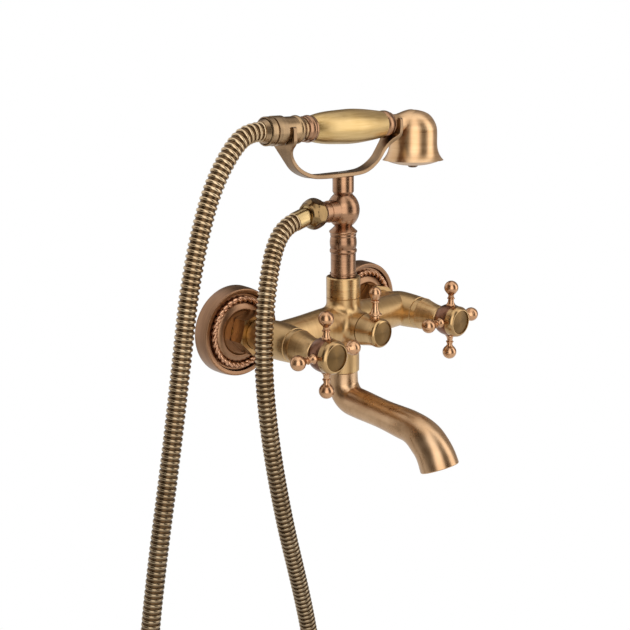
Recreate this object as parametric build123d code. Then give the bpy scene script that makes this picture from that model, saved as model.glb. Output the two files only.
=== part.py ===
from build123d import *
import math
import os

# Wall-mounted bath mixer with a tub spout below, a riser column above, and a telephone-style hand
# shower lying in a forked cradle. Millimetres. +X is to the right of a person who faces the wall,
# +Y goes into the wall, +Z is up. The wall's face is y = 0, and the origin lies on it, midway
# between the two valves at their height. "Out" means the distance from the wall, along -Y.

# ---------------------------------------------------------------- driving dimensions
VALVE_CENTRES = 138.8  # between the two valve barrels
UNION_THROW = 5.6  # how far an eccentric union carries its supply pipe aside of its valve
BODY_OUT = 49.5  # wall to the axis of the cross tube, riser and spout

SLIP = 0.03  # radial clearance of parts that are screwed or pushed together
RUNNING = 0.05  # radial clearance of parts that turn in each other
FACE_GAP = 0.3  # between faces of parts that move past each other

# wall unions: G1/2 into the wall, G3/4 face towards the mixer, the two ends eccentric
INLET_THREAD_RADIUS = 10.48
INLET_THREAD_LENGTH = 12.0
UNION_STEM_RADIUS = 10.0
UNION_STEM_LENGTH = 12.4
UNION_FACE_RADIUS = 13.22
UNION_FACE_LENGTH = 6.6
UNION_STEM_BORE = 6.0
UNION_FACE_BORE = 7.5
UNION_BORE_LAP = 2.0  # how far the two eccentric bores run into each other
GASKET_THICKNESS = 2.0
GASKET_RADIUS = 12.6

# captive tails and their hexagon nuts
TAIL_FLANGE_RADIUS = 12.9
TAIL_FLANGE_THICKNESS = 1.7
TAIL_NECK_RADIUS = 12.0
TAIL_NECK_LENGTH = 4.3
TAIL_SPIGOT_RADIUS = 10.0
TAIL_SPIGOT_LENGTH = 11.0
NUT_FLATS = 30.0
NUT_LENGTH = 13.4
NUT_LIP = 3.2
NUT_CHAMFER = 1.6
NUT_TURN = 46.0  # degrees that the nuts stand turned about their axis

# escutcheons, each with a roped ring in its groove
FLANGE_RADIUS = 35.6
FLANGE_RIM_STEP = 0.9  # foot of the escutcheon out past its rim
FLANGE_HEIGHT = 13.4
FLANGE_WALL = 1.5
FLANGE_LIP_WIDTH = 3.7  # rim in to the edge of the rope's groove
FLANGE_LIP_DROP = 0.9
FLANGE_GROOVE_DEPTH = 3.1
FLANGE_DOME_RADIUS = 24.0
FLANGE_DOME_RISE = 2.0
FLANGE_BORE = 14.0
ROPE_RING_RADIUS = 26.4
ROPE_RADIUS = 2.3

# mixer body
BARREL_INLET_RADIUS = 12.0
BARREL_RADIUS = 14.5
BARREL_MOUTH_RADIUS = 13.1
BARREL_REACH = 25.5  # cross-tube axis to the barrel's mouth
TUBE_CENTRE_RADIUS = 16.2
TUBE_END_RADIUS = 13.9
TUBE_SWELL_REACH = 26.4  # middle of the tube out to where its swelling begins to fall
TUBE_SHOULDER_REACH = 41.6
TUBE_END_LENGTH = 11.8  # nearly parallel end, up to the valve's axis
BOSS_RADIUS = 12.2
BOSS_RING_RADIUS = 12.8
BOSS_RING_WIDTH = 4.5
BOSS_REACH = 25.0
NECK_RADIUS = 13.6
NECK_HEIGHT = 22.1
NECK_SPIGOT_RADIUS = 12.0
NECK_SPIGOT_LENGTH = 12.2
SOCKET_RADIUS = 12.95
SOCKET_DEPTH = 39.4  # inlet height down to the rim of the spout's socket
SADDLE_FILLET = 6.0
WATERWAY_RADIUS = 6.0
VALVE_CHAMBER_RADIUS = 8.85
VALVE_SEAT_REACH = 7.5  # cross-tube axis to the valve seats
RISER_SOCKET_FLOOR = 12.0
SPOUT_SOCKET_ROOF = 20.0

# valve cartridges and their sleeves
CARTRIDGE_NECK_RADIUS = 6.0
CARTRIDGE_SHOULDER_RADIUS = 8.0
CARTRIDGE_SHOULDER_LENGTH = 3.5
CARTRIDGE_STANDOUT = 2.0  # neck's end short of the sleeve's front face
SPINDLE_RADIUS = 4.0
SPINDLE_DEPTH = 12.0  # how far the spindle reaches back from the barrel's mouth
SLEEVE_REAR_RADIUS = 12.9
SLEEVE_WAIST_RADIUS = 11.2
SLEEVE_FRONT_RADIUS = 9.6
SLEEVE_LENGTH = 18.5
SLEEVE_WALL = 1.6

# cross handles
HANDLE_REAR_RADIUS = 10.2
HANDLE_RADIUS = 12.9
HANDLE_LENGTH = 13.2
SPOKE_STATION = 9.3  # hub's rear face to the spokes' axis
SPOKE_COUNT = 4
SPOKE_ROOT_RADIUS = 3.2
SPOKE_ROOT_DEPTH = 3.4  # how far a spoke is let into the hub
SPOKE_STEM_RADIUS = 1.9
SPOKE_BALL_RADIUS = 5.6
SPOKE_BALL_CENTRE = 27.0
INDEX_RING_RADIUS = 12.5
INDEX_RING_WIDTH = 7.1
INDEX_RING_BEVEL = 2.6
INDEX_DISC_RADIUS = 9.65
INDEX_DISC_THICKNESS = 2.4
INDEX_LEDGE = 1.3
SCREW_RADIUS = 2.0
SCREW_HEAD_RADIUS = 3.6
SCREW_HEAD_HEIGHT = 1.9
SCREW_LENGTH = 12.0
LEFT_HANDLE_TURN = -3.5  # degrees at which the crosses stand when the valves are shut
RIGHT_HANDLE_TURN = -3.85

# diverter knob with its finial lever
DIVERTER_REAR_RADIUS = 12.7
DIVERTER_FRONT_RADIUS = 10.8
DIVERTER_LENGTH = 13.7
DIVERTER_POCKET_RADIUS = 8.4
DIVERTER_POCKET_DEPTH = 5.0
DIVERTER_NECK_STANDOUT = 4.0
DIVERTER_RING_RADIUS = 11.4
DIVERTER_RING_WIDTH = 5.0
DIVERTER_DISC_RADIUS = 9.3
FINIAL_STATION = 10.0
FINIAL_ROOT_RADIUS = 3.6
FINIAL_ROOT_DEPTH = 3.2
FINIAL_LENGTH = 36.0  # from the diverter's axis

# riser column in its collar nut
COLLAR_RADIUS = 13.6
COLLAR_LIP = 2.0
COLLAR_MOUTH_RADIUS = 11.3
RETAINER_THICKNESS = 2.6
RETAINER_RADIUS = 11.9
RETAINER_SLOT = 3.0
RISER_RADIUS = 9.95
RISER_GROOVE_DEPTH = 0.8
RISER_BORE = 6.0
LIP_HEIGHT = 41.5
LIP_RADIUS = 10.8
BEAD_HEIGHT = 59.8
BEAD_RADIUS = 10.8
BARREL_BAND_HEIGHT = 66.4
BARREL_BAND_RADIUS = 10.65
CROWN_HEIGHT = 75.0
CROWN_RADIUS = 11.1
BALL_FOOT_RISE = 4.4  # crown up to the ball's foot
BALL_FOOT_RADIUS = 6.7
BALL_RISE = 12.7  # ball's foot up to its middle
BALL_RADIUS = 12.9
BALL_TOP_RISE = 12.2  # and on up to its top
POST_LENGTH = 13.8  # ball's top up to the underside of the strap
POST_RADIUS = 8.3
POST_FOOT_RADIUS = 7.2
POST_SPIGOT_RADIUS = 4.0
POST_SPIGOT_LENGTH = 6.0
ORING_RADIUS = 0.95
ORING_SQUEEZE = 0.1

# hose outlet on the ball, with the hose's lower nut and ferrule
OUTLET_NECK_RADIUS = 8.5
OUTLET_NECK_REACH = 17.0
OUTLET_STEP_RADIUS = 7.4
OUTLET_THREAD_RADIUS = 8.33
OUTLET_THREAD_START = 21.0
OUTLET_THREAD_LENGTH = 6.5
HOSE_BORE = 5.0
HOSE_NUT_START = 23.5
HOSE_NUT_LENGTH = 16.0
HOSE_NUT_RADIUS = 10.8
HOSE_NUT_FLATS = 20.0
HOSE_NUT_LIP = 2.1
HOSE_WASHER_THICKNESS = 1.4
FERRULE_SEAT_RADIUS = 8.25
FERRULE_SEAT_OFFSET = 2.4  # nut's lip back to the centre of the spherical seat
FERRULE_NECK_RADIUS = 6.4
FERRULE_RADIUS = 7.15
FERRULE_REACH = 15.9
FERRULE_DROOP = 15.0  # degrees that the lower ferrule hangs in its spherical seat
HOSE_RADIUS = 7.0
HOSE_WALL = 1.0

# cradle: a bent strap with a fork at each end
STRAP_THICKNESS = 3.2
STRAP_CENTRE_WIDTH = 13.0
STRAP_ARM_WIDTH = 9.5
FORK_WIDTH = 26.0
LEFT_FORK_REACH = 61.0
RIGHT_FORK_REACH = 56.0
LEFT_TIP_RISE = 2.8  # hand shower's axis up to the tips of a fork
RIGHT_TIP_RISE = 4.9
RIGHT_FORK_WIDTH = 23.0
LEFT_TINE_DROP = 7.9  # hand shower's axis down to the root of a tine
RIGHT_TINE_DROP = 5.9
LEFT_FLARE_DROP = 8.1  # hand shower's axis down to where a fork has its full width
RIGHT_FLARE_DROP = 5.6
FLARE_HEIGHT = 10.0  # over which the arm widens into the fork
SEAT_HALF_LENGTH = 9.0
CRADLE_SCREW_RADIUS = 2.5
CRADLE_SCREW_LENGTH = 9.0

# hand shower, lying along X
HANDSET_RISE = 37.5  # underside of the strap up to the hand shower's axis
TAIL_RADIUS = 9.7
TAIL_BEAD_RADIUS = 10.4
TAIL_START = -62.5
TAIL_END = -45.0
HOSE_END_NUT_RADIUS = 9.65
HOSE_END_NUT_LENGTH = 13.6
HOSE_END_CONE = 3.5
HOSE_END_LIP = 3.1
HOSE_END_FLANGE_THICKNESS = 1.4
HANDLE_GROOVE_RADIUS = 8.6
FRONT_COLLAR_START = -42.2
GRIP_START = -33.4
GRIP_END = 40.6
GRIP_REAR_RADIUS = 9.5
GRIP_RADIUS = 13.2
GRIP_FRONT_RADIUS = 10.5
GRIP_CROWN = 6.0  # where the grip is thickest
END_RING_LENGTH = 10.0
END_RING_RADIUS = 10.8
NECK_START_RADIUS = 7.45
NECK_END_RADIUS = 9.5
WATER_TUBE_RADIUS = 6.0
WATER_TUBE_BORE = 4.5
WATER_TUBE_LAP = 8.0  # how far the tube is screwed into the tail
WATER_TUBE_TIP = 4.0  # and into the bell's neck
BELL_CENTRE = 80.8
BELL_CROWN = 10.3  # handle's axis up to the top of the bell
BELL_DEPTH = 30.4  # handle's axis down to the bell's mouth
BELL_BODY_RADIUS = 19.8
BELL_MOUTH_RADIUS = 25.2
BELL_WALL = 1.8
BELL_POST_RADIUS = 4.0
SPRAY_PLATE_GAP = 0.1
SPRAY_PLATE_EDGE = 0.9
SPRAY_PLATE_BULGE = 4.4
SPRAY_NUB_RADIUS = 4.0

# tub spout
SPOUT_DROP = 9.5  # socket rim down to the start of the elbow
SPOUT_ELBOW_RADIUS = 14.5
SPOUT_SLOPE = 4.0  # degrees that the run falls
SPOUT_RUN = 58.0
SPOUT_HOOK_RADIUS = 36.0
SPOUT_LIP = 5.0  # straight end below the hook
SPOUT_MOUTH_TILT = 25.0  # degrees between the mouth's axis and the vertical
SPOUT_TOP_RADIUS = 11.6
SPOUT_ELBOW_SECTION = 12.9
SPOUT_RUN_SECTION = 10.6
SPOUT_HOOK_SECTION = 14.6
SPOUT_MOUTH_SECTION = 15.2
SPOUT_WALL = 2.4
SPOUT_TAIL_RADIUS = 9.95
SPOUT_TAIL_BORE = 7.0
SPOUT_TRACK_DEPTH = 0.9
GRUB_SCREW_RADIUS = 1.5
GRUB_SCREW_RISE = 2.6  # socket rim up to the grub screw
GRUB_SCREW_AZIMUTH = 43.0  # degrees from straight out, towards +X
STRAIGHTENER_RADIUS = 13.0
STRAIGHTENER_THICKNESS = 3.0
STRAIGHTENER_RECESS = 4.0
STRAIGHTENER_HOLE_RADIUS = 2.9
STRAIGHTENER_HOLE_CIRCLE = 8.2

# hose route from the hand shower's cone, down, round a hanging loop, and up to the lower ferrule;
# at each end it starts with a straight lead, worked out below
HOSE_LEAD = 12.5
HOSE_ROUTE = [
    (-106, -49.5, 145.3),
    (-121, -49.5, 121),
    (-134, -49.5, 88),
    (-146.5, -49.5, 50),
    (-155.5, -49.5, 10),
    (-163, -49.5, -30),
    (-171.5, -50, -72),
    (-186, -51.5, -135),
    (-199, -53, -200),
    (-207, -54.5, -268),
    (-210, -56.5, -338),
    (-207, -58.5, -406),
    (-195, -59.5, -464),
    (-172, -60.5, -509),
    (-140, -61, -533),
    (-105, -61.3, -532),
    (-76, -61.6, -509),
    (-57, -62, -466),
    (-47.5, -62, -409),
    (-44, -62.2, -350),
    (-46, -62.4, -296),
    (-53, -62.6, -250),
    (-63, -62.8, -203),
    (-77, -63, -146),
    (-88.5, -63, -84),
    (-94, -63, -34),
    (-94.5, -63, 0),
    (-91, -61.5, 28),
    (-83, -57, 52),
    (-73, -51.5, 71),
]

# ---------------------------------------------------------------- places worked out from them
FLANGE_RIM_RADIUS = FLANGE_RADIUS - FLANGE_RIM_STEP
FLANGE_LIP_RADIUS = FLANGE_RIM_RADIUS - FLANGE_LIP_WIDTH
HALF_VALVES = VALVE_CENTRES / 2
SIDES = {"left": -1, "right": 1}
INLETS = {name: side * HALF_VALVES - UNION_THROW for name, side in SIDES.items()}

UNION_END = UNION_STEM_LENGTH + UNION_FACE_LENGTH
TAIL_START_OUT = UNION_END + GASKET_THICKNESS
NUT_FRONT = TAIL_START_OUT + TAIL_FLANGE_THICKNESS + FACE_GAP / 3 + NUT_LIP
BODY_REAR = TAIL_START_OUT + TAIL_FLANGE_THICKNESS + TAIL_NECK_LENGTH
BARREL_MOUTH = BODY_OUT + BARREL_REACH
VALVE_SEAT = BODY_OUT + VALVE_SEAT_REACH
SLEEVE_FRONT = BARREL_MOUTH + SLEEVE_LENGTH
HANDLE_REAR = SLEEVE_FRONT + FACE_GAP
HANDLE_FRONT = HANDLE_REAR + HANDLE_LENGTH
SPOKES_OUT = HANDLE_REAR + SPOKE_STATION
BOSS_FRONT = BODY_OUT + BOSS_REACH
DIVERTER_REAR = BOSS_FRONT + FACE_GAP
DIVERTER_FRONT = DIVERTER_REAR + DIVERTER_LENGTH
FINIAL_OUT = DIVERTER_REAR + FINIAL_STATION

NECK_TOP = NECK_HEIGHT + NECK_SPIGOT_LENGTH
RETAINER_BASE = NECK_TOP + FACE_GAP / 3
COLLAR_TOP = RETAINER_BASE + RETAINER_THICKNESS + FACE_GAP / 3 + COLLAR_LIP
RISER_FOOT = RISER_SOCKET_FLOOR + FACE_GAP
BALL_FOOT_HEIGHT = CROWN_HEIGHT + BALL_FOOT_RISE
BALL_HEIGHT = BALL_FOOT_HEIGHT + BALL_RISE
BALL_TOP_HEIGHT = BALL_HEIGHT + BALL_TOP_RISE
STRAP_HEIGHT = BALL_TOP_HEIGHT + POST_LENGTH
HANDSET_HEIGHT = STRAP_HEIGHT + HANDSET_RISE
BELL_TOP = HANDSET_HEIGHT + BELL_CROWN
BELL_MOUTH = HANDSET_HEIGHT - BELL_DEPTH
FERRULE_CENTRE = HOSE_NUT_START + HOSE_NUT_LENGTH - HOSE_NUT_LIP - FERRULE_SEAT_OFFSET
GRUB_SCREW_HEIGHT = GRUB_SCREW_RISE - SOCKET_DEPTH


# ---------------------------------------------------------------- helpers
def out_axis(x, z=0.0, out=0.0):
    """Frame whose local Z points straight out of the wall."""
    return Plane(origin=(x, -out, z), x_dir=(1, 0, 0), z_dir=(0, -1, 0))


def up_axis(z=0.0):
    """Frame of the riser and spout, with local Z up."""
    return Plane(origin=(0, -BODY_OUT, z), x_dir=(1, 0, 0), z_dir=(0, 0, 1))


def right_axis(x, z):
    """Frame over the body's axis whose local Z points along +X."""
    return Plane(origin=(x, -BODY_OUT, z), x_dir=(0, 1, 0), z_dir=(1, 0, 0))


def left_axis(x, z):
    """The same with local Z along -X."""
    return Plane(origin=(x, -BODY_OUT, z), x_dir=(0, -1, 0), z_dir=(-1, 0, 0))


def lathe(*stations, bore=0.0):
    """Solid of revolution about Z. A station (r, z) is reached by a straight run, a pair of
    points by an arc through the first, and a list of points by one smooth curve."""

    def at(point):
        return Vector(point[0], 0, point[1])

    start = stations[0]
    here = start
    edges = []
    for station in stations[1:]:
        if isinstance(station, list):
            edges.append(Edge.make_spline([at(p) for p in [here, *station]]))
            here = station[-1]
        elif isinstance(station[0], tuple):
            edges.append(Edge.make_three_point_arc(at(here), at(station[0]), at(station[1])))
            here = station[1]
        else:
            edges.append(Edge.make_line(at(here), at(station)))
            here = station
    corners = [here, (bore, here[1]), (bore, start[1]), start]
    for a, b in zip(corners, corners[1:]):
        if math.dist(a, b) > 1e-6:
            edges.append(Edge.make_line(at(a), at(b)))
    return revolve(Face(Wire(edges)), Axis.Z)


def rod(radius, start, end, bore=0.0):
    """Plain round bar or tube along Z."""
    return lathe((radius, start), (radius, end), bore=bore)


def hexagon(flats, start, end):
    """Hexagonal bar along Z."""
    outline = RegularPolygon(flats / 2, 6, major_radius=False)
    return Pos(0, 0, start) * extrude(outline, end - start)


def mirrored(shape, side):
    """A shape drawn for the right-hand side, or its mirror image for the left."""
    return shape if side > 0 else mirror(shape, Plane.YZ)


def write(name, shape):
    export_step(shape, f"parts/{name}.step")


os.makedirs("parts", exist_ok=True)


# ---------------------------------------------------------------- wall unions and escutcheons
def wall_union(side_name):
    """Eccentric union: thread in the wall, stem, and the flat face that the gasket seals on."""
    stem_axis = out_axis(INLETS[side_name])
    face_axis = out_axis(SIDES[side_name] * HALF_VALVES)
    thread = rod(INLET_THREAD_RADIUS, -INLET_THREAD_LENGTH, 0)
    stem = rod(UNION_STEM_RADIUS, 0, UNION_STEM_LENGTH)
    face = rod(UNION_FACE_RADIUS, UNION_STEM_LENGTH, UNION_END)
    stem_bore = rod(UNION_STEM_BORE, -INLET_THREAD_LENGTH, UNION_STEM_LENGTH + UNION_BORE_LAP)
    face_bore = rod(UNION_FACE_BORE, UNION_STEM_LENGTH, UNION_END)
    solid = stem_axis * (thread + stem) + face_axis * face
    return solid - stem_axis * stem_bore - face_axis * face_bore


def escutcheon(side_name):
    """Turned cover plate, hollow behind, with a lipped groove for the rope and a low dome."""
    lip = FLANGE_HEIGHT - FLANGE_LIP_DROP
    floor = lip - FLANGE_GROOVE_DEPTH + FLANGE_LIP_DROP
    dome = floor + FLANGE_DOME_RISE
    edge = 0.8
    cover = lathe(
        (FLANGE_RADIUS, 0),
        ((FLANGE_RADIUS - 0.2, FLANGE_HEIGHT / 2), (FLANGE_RIM_RADIUS, FLANGE_HEIGHT - edge)),
        (
            (FLANGE_RIM_RADIUS - edge / 4, FLANGE_HEIGHT - edge / 4),
            (FLANGE_RIM_RADIUS - edge, FLANGE_HEIGHT),
        ),
        (FLANGE_LIP_RADIUS, lip),
        (FLANGE_LIP_RADIUS - edge, floor),
        (FLANGE_DOME_RADIUS, floor),
        ((FLANGE_DOME_RADIUS - 1.2, floor + 0.7 * FLANGE_DOME_RISE), (FLANGE_DOME_RADIUS - 4, dome)),
        (FLANGE_BORE, dome),
        bore=FLANGE_BORE,
    )
    hollow = lathe(
        (FLANGE_RADIUS - FLANGE_WALL, 0),
        (FLANGE_RIM_RADIUS - FLANGE_WALL, floor - FLANGE_WALL),
    )
    return out_axis(INLETS[side_name]) * (cover - hollow)


def rope_ring(side_name):
    """The roped band's round body, lying on the floor of the escutcheon's groove."""
    floor = FLANGE_HEIGHT - FLANGE_GROOVE_DEPTH
    ring = Torus(ROPE_RING_RADIUS, ROPE_RADIUS)
    return out_axis(INLETS[side_name], out=floor + ROPE_RADIUS + SLIP) * ring


def union_nut():
    """Hexagon union nut, open towards the wall, with the lip that pulls the tail in."""
    rear = NUT_FRONT - NUT_LENGTH
    corner = NUT_FLATS / math.sqrt(3)
    rounded = lathe(
        (corner - NUT_CHAMFER, rear),
        (corner, rear + NUT_CHAMFER * 0.6),
        (corner, NUT_FRONT - NUT_CHAMFER * 0.6),
        (corner - NUT_CHAMFER, NUT_FRONT),
    )
    thread = rod(UNION_FACE_RADIUS + 0.1, rear, NUT_FRONT - NUT_LIP)
    mouth = rod(TAIL_NECK_RADIUS + 0.3, rear, NUT_FRONT)
    body = Rot(0, 0, NUT_TURN) * hexagon(NUT_FLATS, rear, NUT_FRONT) & rounded
    return out_axis(HALF_VALVES) * (body - thread - mouth)


def union_gasket():
    return out_axis(HALF_VALVES) * rod(GASKET_RADIUS, UNION_END, TAIL_START_OUT, UNION_FACE_BORE)


def inlet_tail():
    """Flanged tail that the nut traps, with the spigot that screws into the body."""
    flange_end = TAIL_START_OUT + TAIL_FLANGE_THICKNESS
    tail = lathe(
        (TAIL_FLANGE_RADIUS, TAIL_START_OUT),
        (TAIL_FLANGE_RADIUS, flange_end),
        (TAIL_NECK_RADIUS, flange_end),
        (TAIL_NECK_RADIUS, BODY_REAR),
        (TAIL_SPIGOT_RADIUS, BODY_REAR),
        (TAIL_SPIGOT_RADIUS, BODY_REAR + TAIL_SPIGOT_LENGTH),
        bore=UNION_FACE_BORE,
    )
    return out_axis(HALF_VALVES) * tail


for side_name, side in SIDES.items():
    write(f"{side_name}_wall_union", wall_union(side_name))
    write(f"{side_name}_escutcheon", escutcheon(side_name))
    write(f"{side_name}_rope_ring", rope_ring(side_name))
write("union_nuts", Compound([mirrored(union_nut(), side) for side in SIDES.values()]))
write("union_gaskets", Compound([mirrored(union_gasket(), side) for side in SIDES.values()]))
write("inlet_tails", Compound([mirrored(inlet_tail(), side) for side in SIDES.values()]))


# ---------------------------------------------------------------- cast mixer body
def valve_barrel():
    """One bottle-shaped barrel about its valve's axis, with a square ring at its mouth."""
    ring = 5.0
    outer = lathe(
        (BARREL_INLET_RADIUS, BODY_REAR),
        [
            (BARREL_INLET_RADIUS + 0.9, BODY_OUT - 12.7),
            (BARREL_RADIUS - 0.2, BODY_OUT - 5.5),
            (BARREL_RADIUS, BODY_OUT + 3.5),
            (BARREL_RADIUS - 0.5, BODY_OUT + 12.5),
            (BARREL_MOUTH_RADIUS + 0.25, BARREL_MOUTH - ring - 0.4),
        ],
        (BARREL_MOUTH_RADIUS - 0.5, BARREL_MOUTH - ring),
        (BARREL_MOUTH_RADIUS, BARREL_MOUTH - ring + 0.5),
        (BARREL_MOUTH_RADIUS, BARREL_MOUTH),
    )
    return out_axis(HALF_VALVES) * outer


def cross_tube():
    """The tube between the barrels, swelling towards the middle."""
    half = lathe(
        (TUBE_CENTRE_RADIUS, 0),
        [
            (TUBE_CENTRE_RADIUS - 0.6, TUBE_SWELL_REACH),
            ((TUBE_CENTRE_RADIUS + TUBE_END_RADIUS) / 2 - 0.5, TUBE_SHOULDER_REACH),
            (TUBE_END_RADIUS, HALF_VALVES - TUBE_END_LENGTH),
            (TUBE_END_RADIUS - 0.3, HALF_VALVES),
        ],
    )
    tube = right_axis(0, 0) * half
    return tube + mirror(tube, Plane.YZ)


def mixer_body():
    """Casting: cross tube, two barrels, riser neck, spout socket and diverter boss, blended
    where they meet, then bored for the waterways and threads."""
    neck = up_axis() * rod(NECK_RADIUS, 0, NECK_HEIGHT)
    socket = up_axis() * lathe(
        (SOCKET_RADIUS - 0.8, -SOCKET_DEPTH),
        (SOCKET_RADIUS, 0.8 - SOCKET_DEPTH),
        (SOCKET_RADIUS, 0),
    )
    boss = out_axis(0) * rod(BOSS_RADIUS, BODY_OUT, BOSS_FRONT - 1)
    casting = cross_tube() + neck + socket + boss
    joints = casting.edges().filter_by(
        lambda e: e.geom_type not in (GeomType.CIRCLE, GeomType.LINE)
    )
    joints = joints.filter_by(lambda e: abs(e.center().X) < NECK_RADIUS + 1)
    casting = fillet(joints, SADDLE_FILLET)
    for side in SIDES.values():
        casting = casting + mirrored(valve_barrel(), side)
    casting = casting + out_axis(0) * rod(BOSS_RING_RADIUS, BOSS_FRONT - BOSS_RING_WIDTH, BOSS_FRONT)
    casting = casting + up_axis() * rod(NECK_SPIGOT_RADIUS, NECK_HEIGHT - 1, NECK_TOP)

    for side in SIDES.values():
        spigot = rod(TAIL_SPIGOT_RADIUS + SLIP, BODY_REAR, BODY_REAR + TAIL_SPIGOT_LENGTH + 0.2)
        inlet = rod(UNION_FACE_BORE, BODY_REAR, VALVE_SEAT)
        chamber = rod(VALVE_CHAMBER_RADIUS, VALVE_SEAT, BARREL_MOUTH)
        casting = casting - mirrored(out_axis(HALF_VALVES) * (spigot + inlet + chamber), side)
    casting = casting - right_axis(-HALF_VALVES, 0) * rod(WATERWAY_RADIUS, 0, VALVE_CENTRES)
    casting = casting - out_axis(0) * rod(VALVE_CHAMBER_RADIUS, VALVE_SEAT, BOSS_FRONT)
    casting = casting - out_axis(0) * rod(WATERWAY_RADIUS, BODY_OUT, VALVE_SEAT)
    casting = casting - up_axis() * rod(RISER_RADIUS + RUNNING, RISER_SOCKET_FLOOR, NECK_TOP)
    casting = casting - up_axis() * rod(WATERWAY_RADIUS, -SPOUT_SOCKET_ROOF, RISER_SOCKET_FLOOR)
    casting = casting - up_axis() * rod(
        SPOUT_TAIL_RADIUS + RUNNING, -SOCKET_DEPTH, -SPOUT_SOCKET_ROOF
    )
    return casting - grub_screw_axis() * rod(GRUB_SCREW_RADIUS + SLIP, 0, SOCKET_RADIUS + 1)


def grub_screw_axis():
    """Frame whose local Z points from the spout's axis out through the grub screw."""
    turn = math.radians(GRUB_SCREW_AZIMUTH)
    outwards = (math.sin(turn), -math.cos(turn), 0)
    return Plane(
        origin=(0, -BODY_OUT, GRUB_SCREW_HEIGHT), x_dir=(0, 0, 1), z_dir=outwards
    )


write("mixer_body", mixer_body())


# ---------------------------------------------------------------- valve cartridges and sleeves
def valve_cartridge():
    """Brass cartridge screwed into the barrel, with a neck that guides the spindle."""
    shoulder_end = BARREL_MOUTH + CARTRIDGE_SHOULDER_LENGTH
    cartridge = lathe(
        (VALVE_CHAMBER_RADIUS - SLIP, VALVE_SEAT + FACE_GAP),
        (VALVE_CHAMBER_RADIUS - SLIP, BARREL_MOUTH),
        (CARTRIDGE_SHOULDER_RADIUS, BARREL_MOUTH),
        (CARTRIDGE_SHOULDER_RADIUS, shoulder_end),
        (CARTRIDGE_NECK_RADIUS, shoulder_end),
        (CARTRIDGE_NECK_RADIUS, SLEEVE_FRONT - CARTRIDGE_STANDOUT),
    )
    spindle_hole = rod(
        SPINDLE_RADIUS + RUNNING, BARREL_MOUTH - SPINDLE_DEPTH - FACE_GAP, SLEEVE_FRONT
    )
    return out_axis(HALF_VALVES) * (cartridge - spindle_hole)


def bonnet_sleeve():
    """Tapered cover that slips over the cartridge and closes against the barrel's mouth."""
    front = SLEEVE_FRONT
    outer = lathe(
        (SLEEVE_REAR_RADIUS, BARREL_MOUTH),
        [
            (SLEEVE_WAIST_RADIUS, BARREL_MOUTH + 0.35 * SLEEVE_LENGTH),
            (SLEEVE_FRONT_RADIUS + 0.15, BARREL_MOUTH + 0.77 * SLEEVE_LENGTH),
            (SLEEVE_FRONT_RADIUS, front - 0.5),
        ],
        (SLEEVE_FRONT_RADIUS - 0.5, front),
    )
    inner = lathe(
        (SLEEVE_REAR_RADIUS - SLEEVE_WALL, BARREL_MOUTH),
        (SLEEVE_WAIST_RADIUS - SLEEVE_WALL, BARREL_MOUTH + 0.35 * SLEEVE_LENGTH),
        (SLEEVE_FRONT_RADIUS - SLEEVE_WALL, BARREL_MOUTH + 0.7 * SLEEVE_LENGTH),
        (SLEEVE_FRONT_RADIUS - SLEEVE_WALL, front - SLEEVE_WALL),
    )
    mouth = rod(CARTRIDGE_NECK_RADIUS + SLIP, BARREL_MOUTH, front)
    return out_axis(HALF_VALVES) * (outer - inner - mouth)


for side_name, side in SIDES.items():
    write(f"{side_name}_valve_cartridge", mirrored(valve_cartridge(), side))
    write(f"{side_name}_bonnet_sleeve", mirrored(bonnet_sleeve(), side))


# ---------------------------------------------------------------- cross handles
def spindle(x, rear, front):
    """Round spindle with a tapped end for the handle's screw."""
    tapped = rod(SCREW_RADIUS + SLIP, front - SCREW_LENGTH, front)
    return out_axis(x) * (rod(SPINDLE_RADIUS, rear, front) - tapped)


def handle_hub(x):
    """Hub that swells towards the front, with a socket for the spindle and four for the spokes."""
    waist = HANDLE_REAR + 0.21 * HANDLE_LENGTH
    hub = lathe(
        (HANDLE_REAR_RADIUS - 0.6, HANDLE_REAR),
        (HANDLE_REAR_RADIUS, HANDLE_REAR + 0.6),
        [
            (HANDLE_REAR_RADIUS + 1.5, waist),
            (HANDLE_RADIUS, SPOKES_OUT - 0.2),
            (HANDLE_RADIUS, SPOKES_OUT + 1.8),
            (INDEX_RING_RADIUS, HANDLE_FRONT),
        ],
    )
    socket = rod(SPINDLE_RADIUS + SLIP, HANDLE_REAR, HANDLE_FRONT - SPINDLE_RADIUS)
    screw_way = rod(SCREW_RADIUS + SLIP, HANDLE_REAR, HANDLE_FRONT)
    hub = out_axis(x) * (hub - socket - screw_way)
    root = rod(SPOKE_ROOT_RADIUS + SLIP, HANDLE_RADIUS - SPOKE_ROOT_DEPTH, HANDLE_RADIUS + 2)
    for count in range(SPOKE_COUNT):
        hub = hub - spoke_axis(x, count, SPOKE_COUNT) * root
    return hub


def spoke_axis(x, number, count):
    """Frame whose local Z points along one spoke."""
    turn = math.radians(360 * number / count)
    along = (math.cos(turn), 0, math.sin(turn))
    return Plane(origin=(x, -SPOKES_OUT, 0), x_dir=(0, 1, 0), z_dir=along)


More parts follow.
